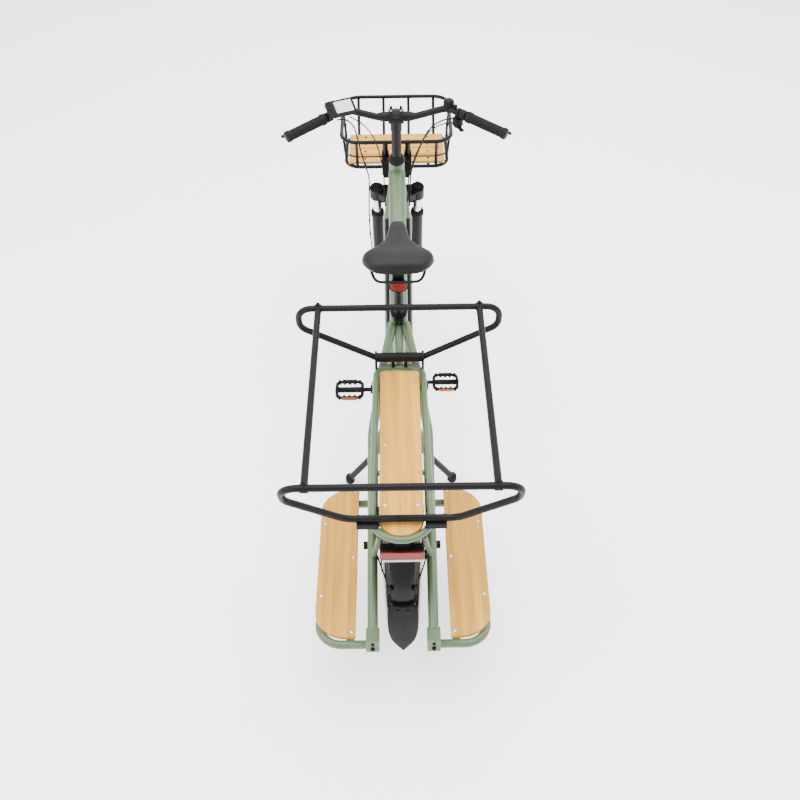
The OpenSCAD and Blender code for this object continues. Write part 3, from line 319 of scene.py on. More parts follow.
def lathe_data(at, axis, profile, sides=48, turn=0.0, ring=False):
    """A profile of (radius, height) turned about an axis from a point; a radius of 0 closes an end."""
    u, v, w = basis(axis)
    verts, faces, rows = [], [], []
    for r, h in profile:
        if r <= 0:
            rows.append([len(verts)])
            verts.append(at + w * h / 1000)
        else:
            rows.append(list(range(len(verts), len(verts) + sides)))
            for k in range(sides):
                a = turn + 2 * math.pi * k / sides
                verts.append(at + w * h / 1000 + (u * math.cos(a) + v * math.sin(a)) * r / 1000)
    loops = list(zip(rows, rows[1:] + rows[:1])) if ring else list(zip(rows, rows[1:]))
    for a, b in loops:
        for k in range(sides):
            m = (k + 1) % sides
            if len(a) == 1 and len(b) == 1:
                continue
            if len(a) == 1:
                faces.append((a[0], b[m], b[k]))
            elif len(b) == 1:
                faces.append((a[k], a[m], b[0]))
            else:
                faces.append((a[k], a[m], b[m], b[k]))
    return verts, faces


def socket_bolt(at, axis, r=4.5, h=4):
    """A round bolt head with a six-sided socket."""
    head = lathe_data(at, axis, [(0, 0), (r, 0), (r, h - 0.6), (r - 0.6, h), (r * 0.52, h)], 28)
    pocket = lathe_data(at, axis, [(r * 0.52, h), (r * 0.5, h - 0.3), (r * 0.48, h * 0.35), (0, h * 0.35)], 6)
    return gather([head, pocket])


def hex_nut(at, axis, r=7, h=6):
    return lathe_data(at, axis, [(0, 0), (r, 0), (r, h - 1), (r - 1, h), (r * 0.55, h), (r * 0.5, h + 2), (0, h + 2)], 6)


def box_data(centre, size, frame_at=None):
    u, v, w = frame_at or (X, Y, Z)
    c = Vector(centre) / 1000
    s = [k / 2000 for k in size]
    verts = [c + u * x * s[0] + v * y * s[1] + w * z * s[2]
             for x in (-1, 1) for y in (-1, 1) for z in (-1, 1)]
    return verts, [(0, 1, 3, 2), (4, 6, 7, 5), (0, 4, 5, 1), (2, 3, 7, 6), (0, 2, 6, 4), (1, 5, 7, 3)]


def slab_data(outline, low, high):
    n = len(outline)
    verts = [P(x, y, low) for x, y in outline] + [P(x, y, high) for x, y in outline]
    faces = [tuple(reversed(range(n))), tuple(range(n, 2 * n))]
    faces += [(i, (i + 1) % n, n + (i + 1) % n, n + i) for i in range(n)]
    return verts, faces


def round_outline(corners):
    """A closed outline through (x, y, corner radius), counter-clockwise."""
    out, n = [], len(corners)
    for i, (x, y, r) in enumerate(corners):
        b = Vector((x, y))
        a, c = Vector(corners[i - 1][:2]), Vector(corners[(i + 1) % n][:2])
        u, v = (a - b).normalized(), (c - b).normalized()
        half = math.acos(max(-1, min(1, u.dot(v)))) / 2
        cut = r / math.tan(half)
        centre = b + (u + v).normalized() * r / math.sin(half)
        s, e = b + u * cut - centre, b + v * cut - centre
        a0 = math.atan2(s.y, s.x)
        da = (math.atan2(e.y, e.x) - a0 + math.pi) % (2 * math.pi) - math.pi
        steps = max(2, int(abs(da) / 0.09))
        for k in range(steps + 1):
            t = a0 + da * k / steps
            out.append((centre.x + r * math.cos(t), centre.y + r * math.sin(t)))
    return out


def dress(mat, *names):
    for n in names:
        NODES[n].data.materials.clear()
        NODES[n].data.materials.append(mat.mat)


# ---------- paint the CAD pieces ----------

dress(SAGE, "front_frame", "rear_frame")
dress(GLOSS, "front_mudguard")
dress(BLACK, "hoop_brackets", "basket_mount", "kickstand_bracket", "kickstand_legs", "stem", "fork_crown",
      "crankset", "front_rim", "rear_rim", "seatpost", "side_rails")
dress(METAL, "bearing_cups", "rear_caliper", "rear_derailleur", "derailleur_cage", "seat_clamp",
      "front_caliper", "brake_lever_left", "brake_lever_right", "fork_legs", "rear_axle")
dress(PLASTIC, "lever_clamps", "bell_base", "bell_striker",
      "lockout_knob", "shift_lever", "battery_pack", "headlight", "display_unit", "display_button",
      "rear_light")
dress(STEEL, "board_screws")
dress(CHROME, "stanchions")
dress(HUB, "front_hub", "rear_hub")

LENGTH = 2065


def yr(d):
    """The place d millimetres forward of the rear tubes' ends."""
    return d - LENGTH / 2


# ---------- boards ----------

def board(name, outline, low, high, mat, body, replaces, screws):
    wood_piece = add_mesh(name, *slab_data(outline, low, high), mat, body, bevel=2.2)
    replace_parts(wood_piece, *replaces)
    # a dark brown ring round each screw head: painted shade of the countersunk well
    cups = [lathe_data(P(x, y, high), Z, [(5.2, -0.2), (5.4, 0.25), (6.2, 0.3), (6.6, 0.05), (6.4, -0.2)], 32, ring=True)
            for x, y in screws]
    heads = []
    for x, y in screws:
        heads.append(lathe_data(P(x, y, high), Z, [(2.3, 0.35), (4.8, 0.3), (5.4, 0.05)], 28))
        heads.append(lathe_data(P(x, y, high), Z, [(2.3, 0.35), (2.1, 0.3), (2.0, 0.15), (0, 0.15)], 6))
    add_mesh(name + "_screw_wells", *gather(cups), WELL_SHADE, body)
    add_mesh(name + "_screws", *gather(heads), STEEL, body)
    return wood_piece


# dark brown painted shade for the rings round the screw heads
WELL_SHADE = painted("screw_well", (0.10, 0.06, 0.03), 0.7)
deck_low, deck_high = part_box("deck_board")
dw, d0, d1 = deck_high.x * 1000, deck_low.y * 1000, deck_high.y * 1000
deck_outline = round_outline([(dw, d1, 12), (-dw, d1, 12), (-dw, d0, dw - 1), (dw, d0, dw - 1)])
deck_rows = [yr(695), yr(428), yr(200)]
board("deck_wood", deck_outline, deck_low.z * 1000, deck_high.z * 1000, WOOD["deck"], "frame",
              ["deck_board", "board_screws"], [(s * 44, y) for y in deck_rows for s in (-1, 1)])

foot_low, foot_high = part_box("footboard_right")
f_in, f_out = foot_low.x * 1000, foot_high.x * 1000
f0, f1 = foot_low.y * 1000, foot_high.y * 1000
foot_screws = [(142, 558), (231, 429), (143, 295), (231, 157), (142, 33)]
for side, name in ((1, "right"), (-1, "left")):
    corners = [(f_in, f0, 4), (f_out, f0, 88), (f_out, f1, 88), (f_in, f1, 4)]
    if side < 0:
        corners = [(-x, y, r) for x, y, r in reversed(corners)]
    board("footboard_wood_" + name, round_outline(corners), foot_low.z * 1000, foot_high.z * 1000,
                  WOOD[name], "frame", ["footboard_" + name],
                  [(side * x, yr(y)) for x, y in foot_screws])

# ---------- footboard frame, as round tube ----------

TUBE_Z, TUBE_OUT = 264, 233
foot_tube = sweep_data(rounded([(103, yr(8), TUBE_Z), (TUBE_OUT, yr(8), TUBE_Z),
                                (TUBE_OUT, yr(528), TUBE_Z), (90, yr(528), TUBE_Z)], 74, 12), 12, 24)
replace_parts(add_mesh("footboard_tubes", *pair(foot_tube), SAGE, "frame"), "footboard_frame")
straps = [box_data((146, yr(268), TUBE_Z + 8), (22, 520, 8))]
straps += [box_data(((TUBE_OUT + 135) / 2, yr(y), TUBE_Z + 8), (TUBE_OUT - 135, 22, 8)) for y in (157, 295, 429)]
straps += [box_data((146, yr(549), TUBE_Z + 8), (22, 42, 8))]
add_mesh("footboard_straps", *pair(gather(straps)), SAGE, "frame", smooth=False, bevel=1.2)

# ---------- rack loop, as round tube ----------

LOOP_Z = 605
loop_path = [P(x, y, LOOP_Z) for x, y in round_outline(
    [(71, yr(782), 42), (-71, yr(782), 42), (-79, yr(90), 76), (79, yr(90), 76)])]
loop_parts = [sweep_data(loop_path, 10, 24, True), sweep_data([P(0, yr(925), 648), P(0, yr(782), LOOP_Z)], 12.5, 24),
              pair(sweep_data([P(57, yr(113), 596), P(80, yr(236), 368)], 8, 20))]
loop_parts += [box_data((0, y, LOOP_Z - 5), (122, 24, 8)) for y in deck_rows]
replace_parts(add_mesh("rack_loop_tube", *gather(loop_parts), SAGE, "frame"), "rack_loop")

# ---------- passenger hoops, as round tube ----------

HOOP_R, HOOP_X, HOOP_TOP, RAIL_X = 9.5, 291.5, 868, 232


def hoop_point(base, top, x, h):
    return (x, base[0] + h * (top[0] - base[0]), base[1] + h * (top[1] - base[1]))


def mirror_route(p):
    return p + [(-x, y, z) for x, y, z in reversed(p)]


front_base, front_top = (yr(781), 646), (yr(737), HOOP_TOP)
rear_base, rear_top = (yr(137), 636), (yr(30), HOOP_TOP)
front_route = mirror_route([hoop_point(front_base, front_top, x, h)
                            for x, h in ((72, 0.0), (86, 0.045), (HOOP_X, 0.64), (HOOP_X, 1))])
rear_route = mirror_route([hoop_point(rear_base, rear_top, x, h)
                           for x, h in ((0, 0), (146, 0), (HOOP_X, 0.64), (HOOP_X, 1))])
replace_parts(add_mesh("front_hoop_tube", *sweep_data(rounded(front_route, 46, 12), HOOP_R, 24), BLACK, "frame"),
            "front_hoop")
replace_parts(add_mesh("rear_hoop_tube", *sweep_data(rounded(rear_route, 58, 12), HOOP_R, 24), BLACK, "frame"),
            "rear_hoop")
rail_bolts = [socket_bolt(P(s * RAIL_X, y, HOOP_TOP + HOOP_R + 5), Z, 5.2, 4.5)
              for s in (-1, 1) for y in (front_top[0], rear_top[0])]
add_mesh("rail_bolts", *gather(rail_bolts), METAL, "frame")

# ---------- basket, as round wire ----------

RIM = 6.5
BT, BB, BW, FW = 965, 848, 388, 366
near, far, floor_near, floor_far = yr(1528), yr(1880), yr(1572), yr(1806)


def ring_path(w, a, b, z, corner, r):
    x, a, b = w / 2 - r, a + r, b - r
    corners = [(x, a, corner), (x, b, corner), (-x, b, corner), (-x, a, corner)]
    return [P(px, py, z) for px, py in round_outline(corners)]


basket = [sweep_data(ring_path(BW, near, far, BT, 58, RIM), RIM, 16, True),
          sweep_data(ring_path(FW, floor_near, floor_far, BB, 50, RIM), RIM, 16, True)]
la, lb, ta, tb = floor_near + RIM, floor_far - RIM, near + RIM, far - RIM
for x in (-135, -45, 45, 135):
    basket.append(sweep_data([P(x, lb, BB), P(x, tb, BT)], 5.2, 14))
for x in (-136, 136):
    basket.append(sweep_data([P(x, la, BB), P(x, ta, BT)], 5.2, 14))
for t in (0.28, 0.72):
    rod = sweep_data([P(FW / 2 - RIM, la + t * (lb - la), BB), P(BW / 2 - RIM, ta + t * (tb - ta), BT)], 4.5, 14)
    basket.append(pair(rod))
mid = 0.42
mx = (1 - mid) * (FW / 2 - RIM) + mid * (BW / 2 - RIM)
my, mf = (1 - mid) * la + mid * ta, (1 - mid) * lb + mid * tb
mz = (1 - mid) * BB + mid * BT
basket.append(sweep_data(rounded([(mx, mf - 30, mz), (mx, my, mz), (-mx, my, mz), (-mx, mf - 30, mz)], 54, 10), 2.6, 12))
for x in (-110, 0, 110):
    basket.append(sweep_data([P(x, la, BB - 1), P(x, lb, BB - 1)], 5, 14))
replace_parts(add_mesh("basket_wires", *gather(basket), BLACK, "frame"), "basket_frame")
slats, slat_bolts = [], []
s_low, s_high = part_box("basket_floor")
depth = (s_high.y - s_low.y) * 1000 / 3.9
pitch = 51.0
for i in range(4):
    y = s_low.y * 1000 + 23 + i * pitch
    slats.append(box_data((0, y, (s_low.z + s_high.z) * 500), ((s_high.x - s_low.x) * 1000, 46, 9)))
    slat_bolts += [socket_bolt(P(x, y, s_high.z * 1000 - 0.5), Z, 4.0, 2.2) for x in (-110, 0, 110)]
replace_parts(add_mesh("basket_slats", *gather(slats), WOOD["basket"], "frame", smooth=False, bevel=2),
                    "basket_floor")
add_mesh("slat_bolts", *gather(slat_bolts), METAL, "frame")

# ---------- tyres ----------

TREAD = painted("tyre_tread", (0.010, 0.010, 0.010), 0.75, grain=420, depth=0.0004)


def sidewall_material():
    s = Shader("tan_sidewall")
    s.set(Metallic=0.0)
    weave = s.noise(700, 2)
    s.link(s.ramp(s.noise(14, 4), [(0.3, (0.20, 0.115, 0.055)), (0.7, (0.27, 0.165, 0.085))]),
           s.bsdf.inputs["Base Color"])
    s.set(Roughness=0.72)
    s.bump(weave, 0.3, 0.0003)
    return s


TAN = sidewall_material()


def tyre(name, node, blocks):
    low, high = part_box(node)
    centre = (low + high) / 2
    r = (high.z - low.z) * 500
    w = (high.x - low.x) * 500
    section = 48
    around = blocks * 4
    verts, faces, tans = [], [], []
    angles = [math.radians(-150 + 300 * k / (section - 1)) for k in range(section)]
    for i in range(around):
        t = 2 * math.pi * i / around
        for k, a in enumerate(angles):
            deg = abs(math.degrees(a))
            lug = 0.0
            if deg < 58:
                row = int((math.degrees(a) + 58) // 14.6)
                phase = (i + (row % 2) * 2) % 4
                cut = phase == 0 or abs((math.degrees(a) + 58) % 14.6) < 2.6
                lug = -2.2 if cut else 0.0
            q = r - w + (w + lug) * math.cos(a)
            verts.append(centre + Vector(((w + lug) * math.sin(a), q * math.cos(t), q * math.sin(t))) / 1000)
    for i in range(around):
        j = (i + 1) % around
        for k in range(section - 1):
            faces.append((i * section + k, i * section + k + 1, j * section + k + 1, j * section + k))
            tans.append(64 < abs(math.degrees(angles[k])) < 126)
    piece = add_mesh(name, verts, faces, [TREAD, TAN], BODY_OF[node])
    for f, tan in zip(piece.data.polygons, tans):
        f.material_index = 1 if tan else 0
    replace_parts(piece, node)
    return piece


tyre("front_tyre_treaded", "front_tyre", 92)
tyre("rear_tyre_treaded", "rear_tyre", 74)

# ---------- saddle ----------


def saddle_material():
    s = Shader("saddle_cover")
    cells = s.add("ShaderNodeTexVoronoi", feature="DISTANCE_TO_EDGE")
    cells.inputs["Scale"].default_value = 420
    s.link(s.coords, cells.inputs["Vector"])
    s.link(s.ramp(s.noise(12, 4), [(0.3, (0.0055, 0.0055, 0.006)), (0.7, (0.0075, 0.0075, 0.008))]),
           s.bsdf.inputs["Base Color"])
    s.set(Specular_IOR_Level=0.16)
    s.link(s.spread(s.noise(40, 3), 0.50, 0.62), s.bsdf.inputs["Roughness"])
    s.bump(cells.outputs["Distance"], 0.25, 0.0004)
    s.bump(s.noise(25, 3), 0.15, 0.0012)
    return s


COVER = saddle_material()
s_low, s_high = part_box("saddle")
SY, SZ = s_low.y * 1000, s_low.z * 1000
WIDTHS = [(0, 62), (8, 78), (22, 91), (42, 101), (62, 104), (80, 98), (100, 79), (122, 57), (146, 41),
          (172, 33), (202, 28.5), (230, 25), (248, 20), (257, 13)]
CROWNS = [(0, 30), (8, 37), (22, 42), (42, 44.5), (62, 43.5), (80, 41), (100, 38), (122, 36), (146, 34.5),
          (172, 33), (202, 32), (230, 29), (248, 25), (257, 20)]


def between(table, u):
    """A smooth value at u from a table of places and values."""
    for i in range(len(table) - 1):
        if u <= table[i + 1][0]:
            break
    p = [table[max(i - 1, 0)], table[i], table[i + 1], table[min(i + 2, len(table) - 1)]]
    t = (u - p[1][0]) / (p[2][0] - p[1][0])
    m1 = (p[2][1] - p[0][1]) / max(p[2][0] - p[0][0], 1e-6) * (p[2][0] - p[1][0])
    m2 = (p[3][1] - p[1][1]) / max(p[3][0] - p[1][0], 1e-6) * (p[2][0] - p[1][0])
    return ((2 * t ** 3 - 3 * t ** 2 + 1) * p[1][1] + (t ** 3 - 2 * t ** 2 + t) * m1
            + (3 * t ** 2 - 2 * t ** 3) * p[2][1] + (t ** 3 - t ** 2) * m2)


def saddle_section(u, count=44):
    w, h = between(WIDTHS, u), between(CROWNS, u)
    out = []
    for k in range(count):
        a = 2 * math.pi * k / count
        c, s = math.cos(a), math.sin(a)
        x = w * math.copysign(abs(c) ** 0.62, c)
        if s >= 0:
            dip = 2.4 * math.exp(-(x / 13) ** 2) * max(0.0, min(1.0, (u - 25) / 60)) * (1 if u < 200 else 0.4)
            z = 12 + (h - 12) * s ** 0.62 - dip * s
        else:
            z = 12 + 12 * -abs(s) ** 0.8
        out.append(Vector((x, SY + u, SZ + z)) / 1000)
    return out


stations = [1.5 + 255.5 * k / 64 for k in range(65)]
saddle_verts, saddle_faces = [], []
for u in stations:
    saddle_verts += saddle_section(u)
n = 44
for i in range(len(stations) - 1):
    for k in range(n):
        saddle_faces.append((i * n + k, i * n + (k + 1) % n, (i + 1) * n + (k + 1) % n, (i + 1) * n + k))
tail, nose = len(saddle_verts), len(saddle_verts) + 1
first, last = saddle_section(stations[0]), saddle_section(stations[-1])
saddle_verts.append(sum(first, Vector()) / n - Y * 0.0035)
saddle_verts.append(sum(last, Vector()) / n + Y * 0.004)
for k in range(n):
    saddle_faces.append((tail, (k + 1) % n, k))
    base = (len(stations) - 1) * n
    saddle_faces.append((nose, base + k, base + (k + 1) % n))
saddle = add_mesh("saddle_padding", saddle_verts, saddle_faces, COVER, "seat")
sub = saddle.modifiers.new("round", "SUBSURF")
sub.levels = sub.render_levels = 1
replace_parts(saddle, "saddle")
edge = []
for u in stations[1:-1]:
    edge.append(P(between(WIDTHS, u) + 0.2, SY + u, SZ + 12))
edge = edge + [P(-p.x * 1000, p.y * 1000, p.z * 1000) for p in reversed(edge)]
# the seam tube round the saddle's rim is light grey: a painted highlight along the edge
SEAM_HIGHLIGHT = painted("saddle_piping", (0.10, 0.10, 0.102), 0.5)
add_mesh("saddle_edge_seam", *sweep_data(edge, 1.3, 10, True), SEAM_HIGHLIGHT, "seat")
stitch = []
for u in [30 + 6.2 * k for k in range(36)]:
    for s in (-1, 1):
        w = between(WIDTHS, u) * 0.955
        w2 = between(WIDTHS, u + 3.6) * 0.955
        h = between(CROWNS, u)
        z = 12 + (h - 12) * (1 - 0.955 ** (1 / 0.62)) ** 0.31
        stitch.append(sweep_data([P(s * w, SY + u, SZ + z), P(s * w2, SY + u + 3.6, SZ + z)], 0.6, 6))

# ---------- grips ----------


def grip_material():
    s = Shader("grip_rubber")
    s.set(Base_Color=(0.006, 0.006, 0.0065, 1), Specular_IOR_Level=0.12)
    s.link(s.spread(s.noise(60, 3), 0.62, 0.78), s.bsdf.inputs["Roughness"])
    dots = s.add("ShaderNodeTexVoronoi", feature="F1")
    dots.inputs["Scale"].default_value = 380
    s.link(s.coords, dots.inputs["Vector"])
    s.bump(dots.outputs["Distance"], 0.35, 0.0005)
    return s


GRIP = grip_material()
STEER = next(j for j in frame["joints"] if j["name"] == "steering_turn")
bar_low, bar_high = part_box("handlebar")
BAR_H = 1112
BAR_Y = 397.3
GRIP_END = Vector((337, BAR_Y - 132, BAR_H + 4))
BAR_BEND = Vector((165, BAR_Y + 8, BAR_H + 24))
GRIP_DIR = (GRIP_END - BAR_BEND).normalized()


def on_grip(d):
    return GRIP_END - GRIP_DIR * d


def near_grip(d, f, z):
    return on_grip(d) + Vector((0.62 * f, 0.78 * f, z))


ribs = [(0, -6), (15.5, -6), (18.2, -4.5), (18.2, 6), (17.0, 7)]
h = 9.0
while h < 122:
    ribs += [(16.4, h), (16.4, h + 3.2), (15.5, h + 3.7), (15.5, h + 5.1)]
    h += 5.6
ribs += [(17.0, 128), (18.4, 129), (18.4, 141), (17.2, 142), (11.3, 142)]
grip_shape = lathe_data(GRIP_END / 1000, -GRIP_DIR, ribs, 40)
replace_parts(add_mesh("ribbed_grips", *pair(grip_shape), GRIP, "steering"), "grips")
caps = lathe_data((GRIP_END + GRIP_DIR * 6) / 1000, GRIP_DIR, [(0, 1.6), (8, 1.6), (10, 0.6), (10, 0)], 32)
clamp_bolts = gather([caps, socket_bolt((on_grip(135) + Vector((0, 0, 17.5))) / 1000, Z, 2.6, 1.6)])
add_mesh("grip_ends", *pair(clamp_bolts), METAL, "steering")
bar_route = [(-GRIP_END.x, GRIP_END.y, GRIP_END.z), (-BAR_BEND.x, BAR_BEND.y, BAR_BEND.z), (-62, BAR_Y, BAR_H),
             (62, BAR_Y, BAR_H), tuple(BAR_BEND), tuple(GRIP_END)]
bar_path = rounded(bar_route, 48, 12)
bar_radii = [max(11.1, min(15.9, 15.9 - (abs(p.x * 1000) - 43) * 0.25)) for p in bar_path]
fine_path, fine_radii = [], []
for a, b in zip(bar_path, bar_path[1:]):
    steps = max(1, int((b - a).length / 0.008))
    for k in range(steps):
        p = a.lerp(b, k / steps)
        fine_path.append(p)
        fine_radii.append(max(11.1, min(15.9, 15.9 - (abs(p.x * 1000) - 43) * 0.25)))
fine_path.append(bar_path[-1])
fine_radii.append(11.1)
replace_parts(add_mesh("smooth_handlebar", *sweep_data(fine_path, fine_radii, 28), BLACK, "steering"), "handlebar")

# ---------- cables and hoses ----------

HOSE = painted("hose", (0.007, 0.007, 0.0075), 0.40, grain=700)
front_hose = [(-190, 395, 1104), (-165, 420, 1092), (-140, 435, 1060), (-128, 442, 1010), (-118, 455, 950),
              (-106, 475, 890), (-98, 500, 840), (-97, 525, 790), (-99, 540, 750), (-101, 556, 700),
              (-102, 574, 640), (-102, 594, 570), (-100, 610, 505), (-93, 622, 450), (-64, 633, 413)]
rear_hose = [(190, 395, 1104), (150, 420, 1084), (110, 430, 1050), (84, 428, 1000), (66, 432, 950),
             (52, 440, 900), (46, 440, 860), (44, 425, 815), (42, 405, 775)]
shift_cable = [(186, 380, 1096), (140, 404, 1076), (98, 416, 1036), (74, 420, 985), (58, 427, 940),
               (47, 436, 895), (40, 442, 860), (37, 424, 812), (35, 404, 775)]
display_lead = [(-150, 402, 1112), (-110, 408, 1082), (-80, 414, 1040), (-62, 420, 990), (-52, 428, 940),
                (-46, 434, 895), (-44, 436, 860), (-43, 424, 815), (-41, 404, 775)]
crown = Vector(STEER["pos_m"])
hose = add_mesh("front_brake_line", *sweep_data(smooth_path(front_hose, 8), 2.5, 14), HOSE, None)
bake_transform(hose)
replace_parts(hose, "front_brake_hose")
lines = gather([sweep_data(smooth_path(rear_hose, 8), 2.5, 14), sweep_data(smooth_path(shift_cable, 8), 2.2, 14),
                sweep_data(smooth_path(display_lead, 8), 2.0, 14)])
cables = add_mesh("control_lines", *lines, HOSE, None)
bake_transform(cables)
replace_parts(cables, "control_cables")
cable_ends = [sweep_data([P(*front_hose[-1]), P(-58, 637, 404)], 4, 14)]
add_mesh("hose_end", *gather(cable_ends), METAL, "fork_slider")
ties = [lathe_data(P(-100, 548, 722), Vector((0, 0.3, -0.95)), [(3.0, -2), (4.0, -2), (4.0, 2), (3.0, 2)], 20, ring=True)]
for at, r in (((-102, 584, 605), 3.9), ((-101, 602, 537), 3.9)):
    ties.append(lathe_data(P(*at), Vector((0, 0.32, -0.94)), [(r - 1, -3), (r, -3), (r, 3), (r - 1, 3)], 20, ring=True))
add_mesh("hose_guides", *gather(ties[1:]), PLASTIC, "fork_slider")

# ---------- chain ----------

CRANK = Vector(next(j for j in frame["joints"] if j["name"] == "crank_turn")["pos_m"])
REAR = Vector(next(j for j in frame["joints"] if j["name"] == "rear_wheel_turn")["pos_m"])
GUIDE = Vector(next(j for j in frame["joints"] if j["name"] == "cage_swing")["pos_m"])
RING_X, COG_X = 51, 55
RING_R, COG_R, JOCKEY = 82, 39, 21.5
ring, cog, guide = CRANK * 1000, REAR * 1000, GUIDE * 1000
tension = Vector((guide.x, guide.y + 8, guide.z - 50))


def on_wheel(centre, r, deg):
    return (centre.y + r * math.cos(math.radians(deg)), centre.z + r * math.sin(math.radians(deg)))


loop = []
for a in range(94, -96, -4):
    loop.append((*on_wheel(ring, RING_R, a), RING_X))
for a in range(-100, -200, -12):
    loop.append((*on_wheel(tension, JOCKEY, a), COG_X))
for a in range(-20, 70, 12):
    loop.append((*on_wheel(guide, JOCKEY, a), COG_X))
for a in range(262, 92, -6):
    loop.append((*on_wheel(cog, COG_R, a), COG_X))
loop = [Vector((x, y, z)) for y, z, x in loop]
total = sum((b - a).length for a, b in zip(loop, loop[1:] + loop[:1]))
count = 2 * round(total / 12.7 / 2)
step = total / count
marks, walk, i = [], 0.0, 0
edges = list(zip(loop, loop[1:] + loop[:1]))
for k in range(count):
    goal = k * step
    while walk + (edges[i][1] - edges[i][0]).length < goal:
        walk += (edges[i][1] - edges[i][0]).length
        i += 1
    a, b = edges[i]
    marks.append(a.lerp(b, (goal - walk) / max((b - a).length, 1e-6)))
plates, rollers = [], []
for k, a in enumerate(marks):
    b = marks[(k + 1) % count]
    d = (b - a).normalized()
    up = X.cross(d)
    outer = 3.3 if k % 2 else 2.1
    for s in (-1, 1):
        c = (a + b) / 2 + X * s * outer
        ends = []
        for j in range(8):
            t = math.pi * j / 7 - math.pi / 2
            ends.append(b + d * 4.2 * math.cos(t) + up * 4.2 * math.sin(t))
        for j in range(8):
            t = math.pi * j / 7 + math.pi / 2
            ends.append(a + d * 4.2 * math.cos(t) + up * 4.2 * math.sin(t))
        verts = [(p + X * (s * outer - 0.5)) / 1000 for p in ends] + [(p + X * (s * outer + 0.5)) / 1000 for p in ends]
        m = len(ends)
        faces = [tuple(reversed(range(m))), tuple(range(m, 2 * m))]
        faces += [(j, (j + 1) % m, m + (j + 1) % m, m + j) for j in range(m)]
        plates.append((verts, faces))
    rollers.append(lathe_data((a - X * 3.9) / 1000, X, [(0, 0), (2.0, 0), (2.0, 1.9), (3.8, 1.9), (3.8, 5.9), (2.0, 5.9), (2.0, 7.8), (0, 7.8)], 12))
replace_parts(add_mesh("chain_links", *gather(plates + rollers), CHAIN, "frame", smooth=False), "chain")

# ---------- lights and reflectors ----------


def lens(name, colour, rough=0.12, cells=300, glow=0.0, axis_turn=0.0):
    s = Shader(name)
    s.set(Roughness=rough + 0.15, Coat_Weight=0.12, Coat_Roughness=0.05, IOR=1.5, Specular_IOR_Level=0.3)
    grid = s.add("ShaderNodeTexVoronoi", feature="DISTANCE_TO_EDGE", distance="CHEBYCHEV")
    grid.inputs["Scale"].default_value = cells
    grid.inputs["Randomness"].default_value = 0.0
    s.link(s.coords, grid.inputs["Vector"])
    dark = tuple(c * 0.45 for c in colour)
    s.link(s.ramp(grid.outputs["Distance"], [(0.0, dark), (0.25, colour)]), s.bsdf.inputs["Base Color"])
    s.bump(grid.outputs["Distance"], 0.5, 0.001)
    # emission glow: on the rear light it is the lamp's own glow; on the seat and pedal reflectors, which are no lamps,
    # it is painted glow
    if glow:
        s.set(Emission_Color=(*colour, 1), Emission_Strength=glow)
    return s


# RED glows as a lamp on the rear light and as painted glow on the seat reflector; AMBER's glow on the pedal reflectors
# is painted glow
RED = lens("red_lens", (0.20, 0.0, 0.003), glow=0.04)
AMBER = lens("amber_lens", (0.34, 0.075, 0.002), cells=420, glow=0.05)
CLEAR = lens("clear_lens", (0.75, 0.77, 0.80), rough=0.08, cells=220)
lamp_low, lamp_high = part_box("rear_light")
lamp_y = yr(88)
shape = round_outline([(59, 561, 8), (-59, 561, 8), (-59, 533, 8), (59, 533, 8)][::-1])
v = [P(x, lamp_y, z) for x, z in shape] + [P(x, lamp_y - 6, z) for x, z in shape]
m = len(shape)
f = [tuple(range(m)), tuple(reversed(range(m, 2 * m)))] + [(i, m + i, m + (i + 1) % m, (i + 1) % m) for i in range(m)]
add_mesh("rear_light_lens", v, f, RED, "frame", bevel=1.5)
strip = box_data((0, lamp_y - 3.0, 531), (104, 10, 7))
add_mesh("rear_light_strip", *strip, CLEAR, "frame", bevel=1)

SEAT_AXIS = -Vector(next(j for j in frame["joints"] if j["name"] == "seat_height")["axis"])
seat_up = -SEAT_AXIS
top_of_tube = Vector((0, 22.5 - (712 - 290) * 0.3153, 712))
back = Vector((0, -seat_up.z, seat_up.y)).normalized()
disc_at = (top_of_tube + seat_up * 170 + back * 29) / 1000
# the red glow of the seat reflector is painted glow
add_mesh("seat_reflector", *lathe_data(disc_at, back, [(0, 2.4), (14, 2.2), (22, 1.6), (25.5, 0.6), (25.5, 0)], 48), RED, "seat")
add_mesh("seat_reflector_rim", *lathe_data(disc_at, back, [(25.5, -1), (28, -1), (28, 1.4), (27, 2.2), (25.5, 1.2)], 48, ring=True), PLASTIC, "seat")
h_low, h_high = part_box("headlight")
lamp_at = Vector((0, h_high.y, (h_low.z + h_high.z) / 2 - 0.0015))
lamp_at.z = h_low.z + 0.024
add_mesh("headlight_lens", *lathe_data(lamp_at, Y, [(0, 3), (10, 2.6), (18, 1.2), (21, 0), (21, -1)], 40), CLEAR, "frame")
add_mesh("headlight_rim", *lathe_data(lamp_at, Y, [(21, -5), (25, -5), (25, 1), (23.5, 2.5), (21, 1)], 40, ring=True), METAL, "frame")
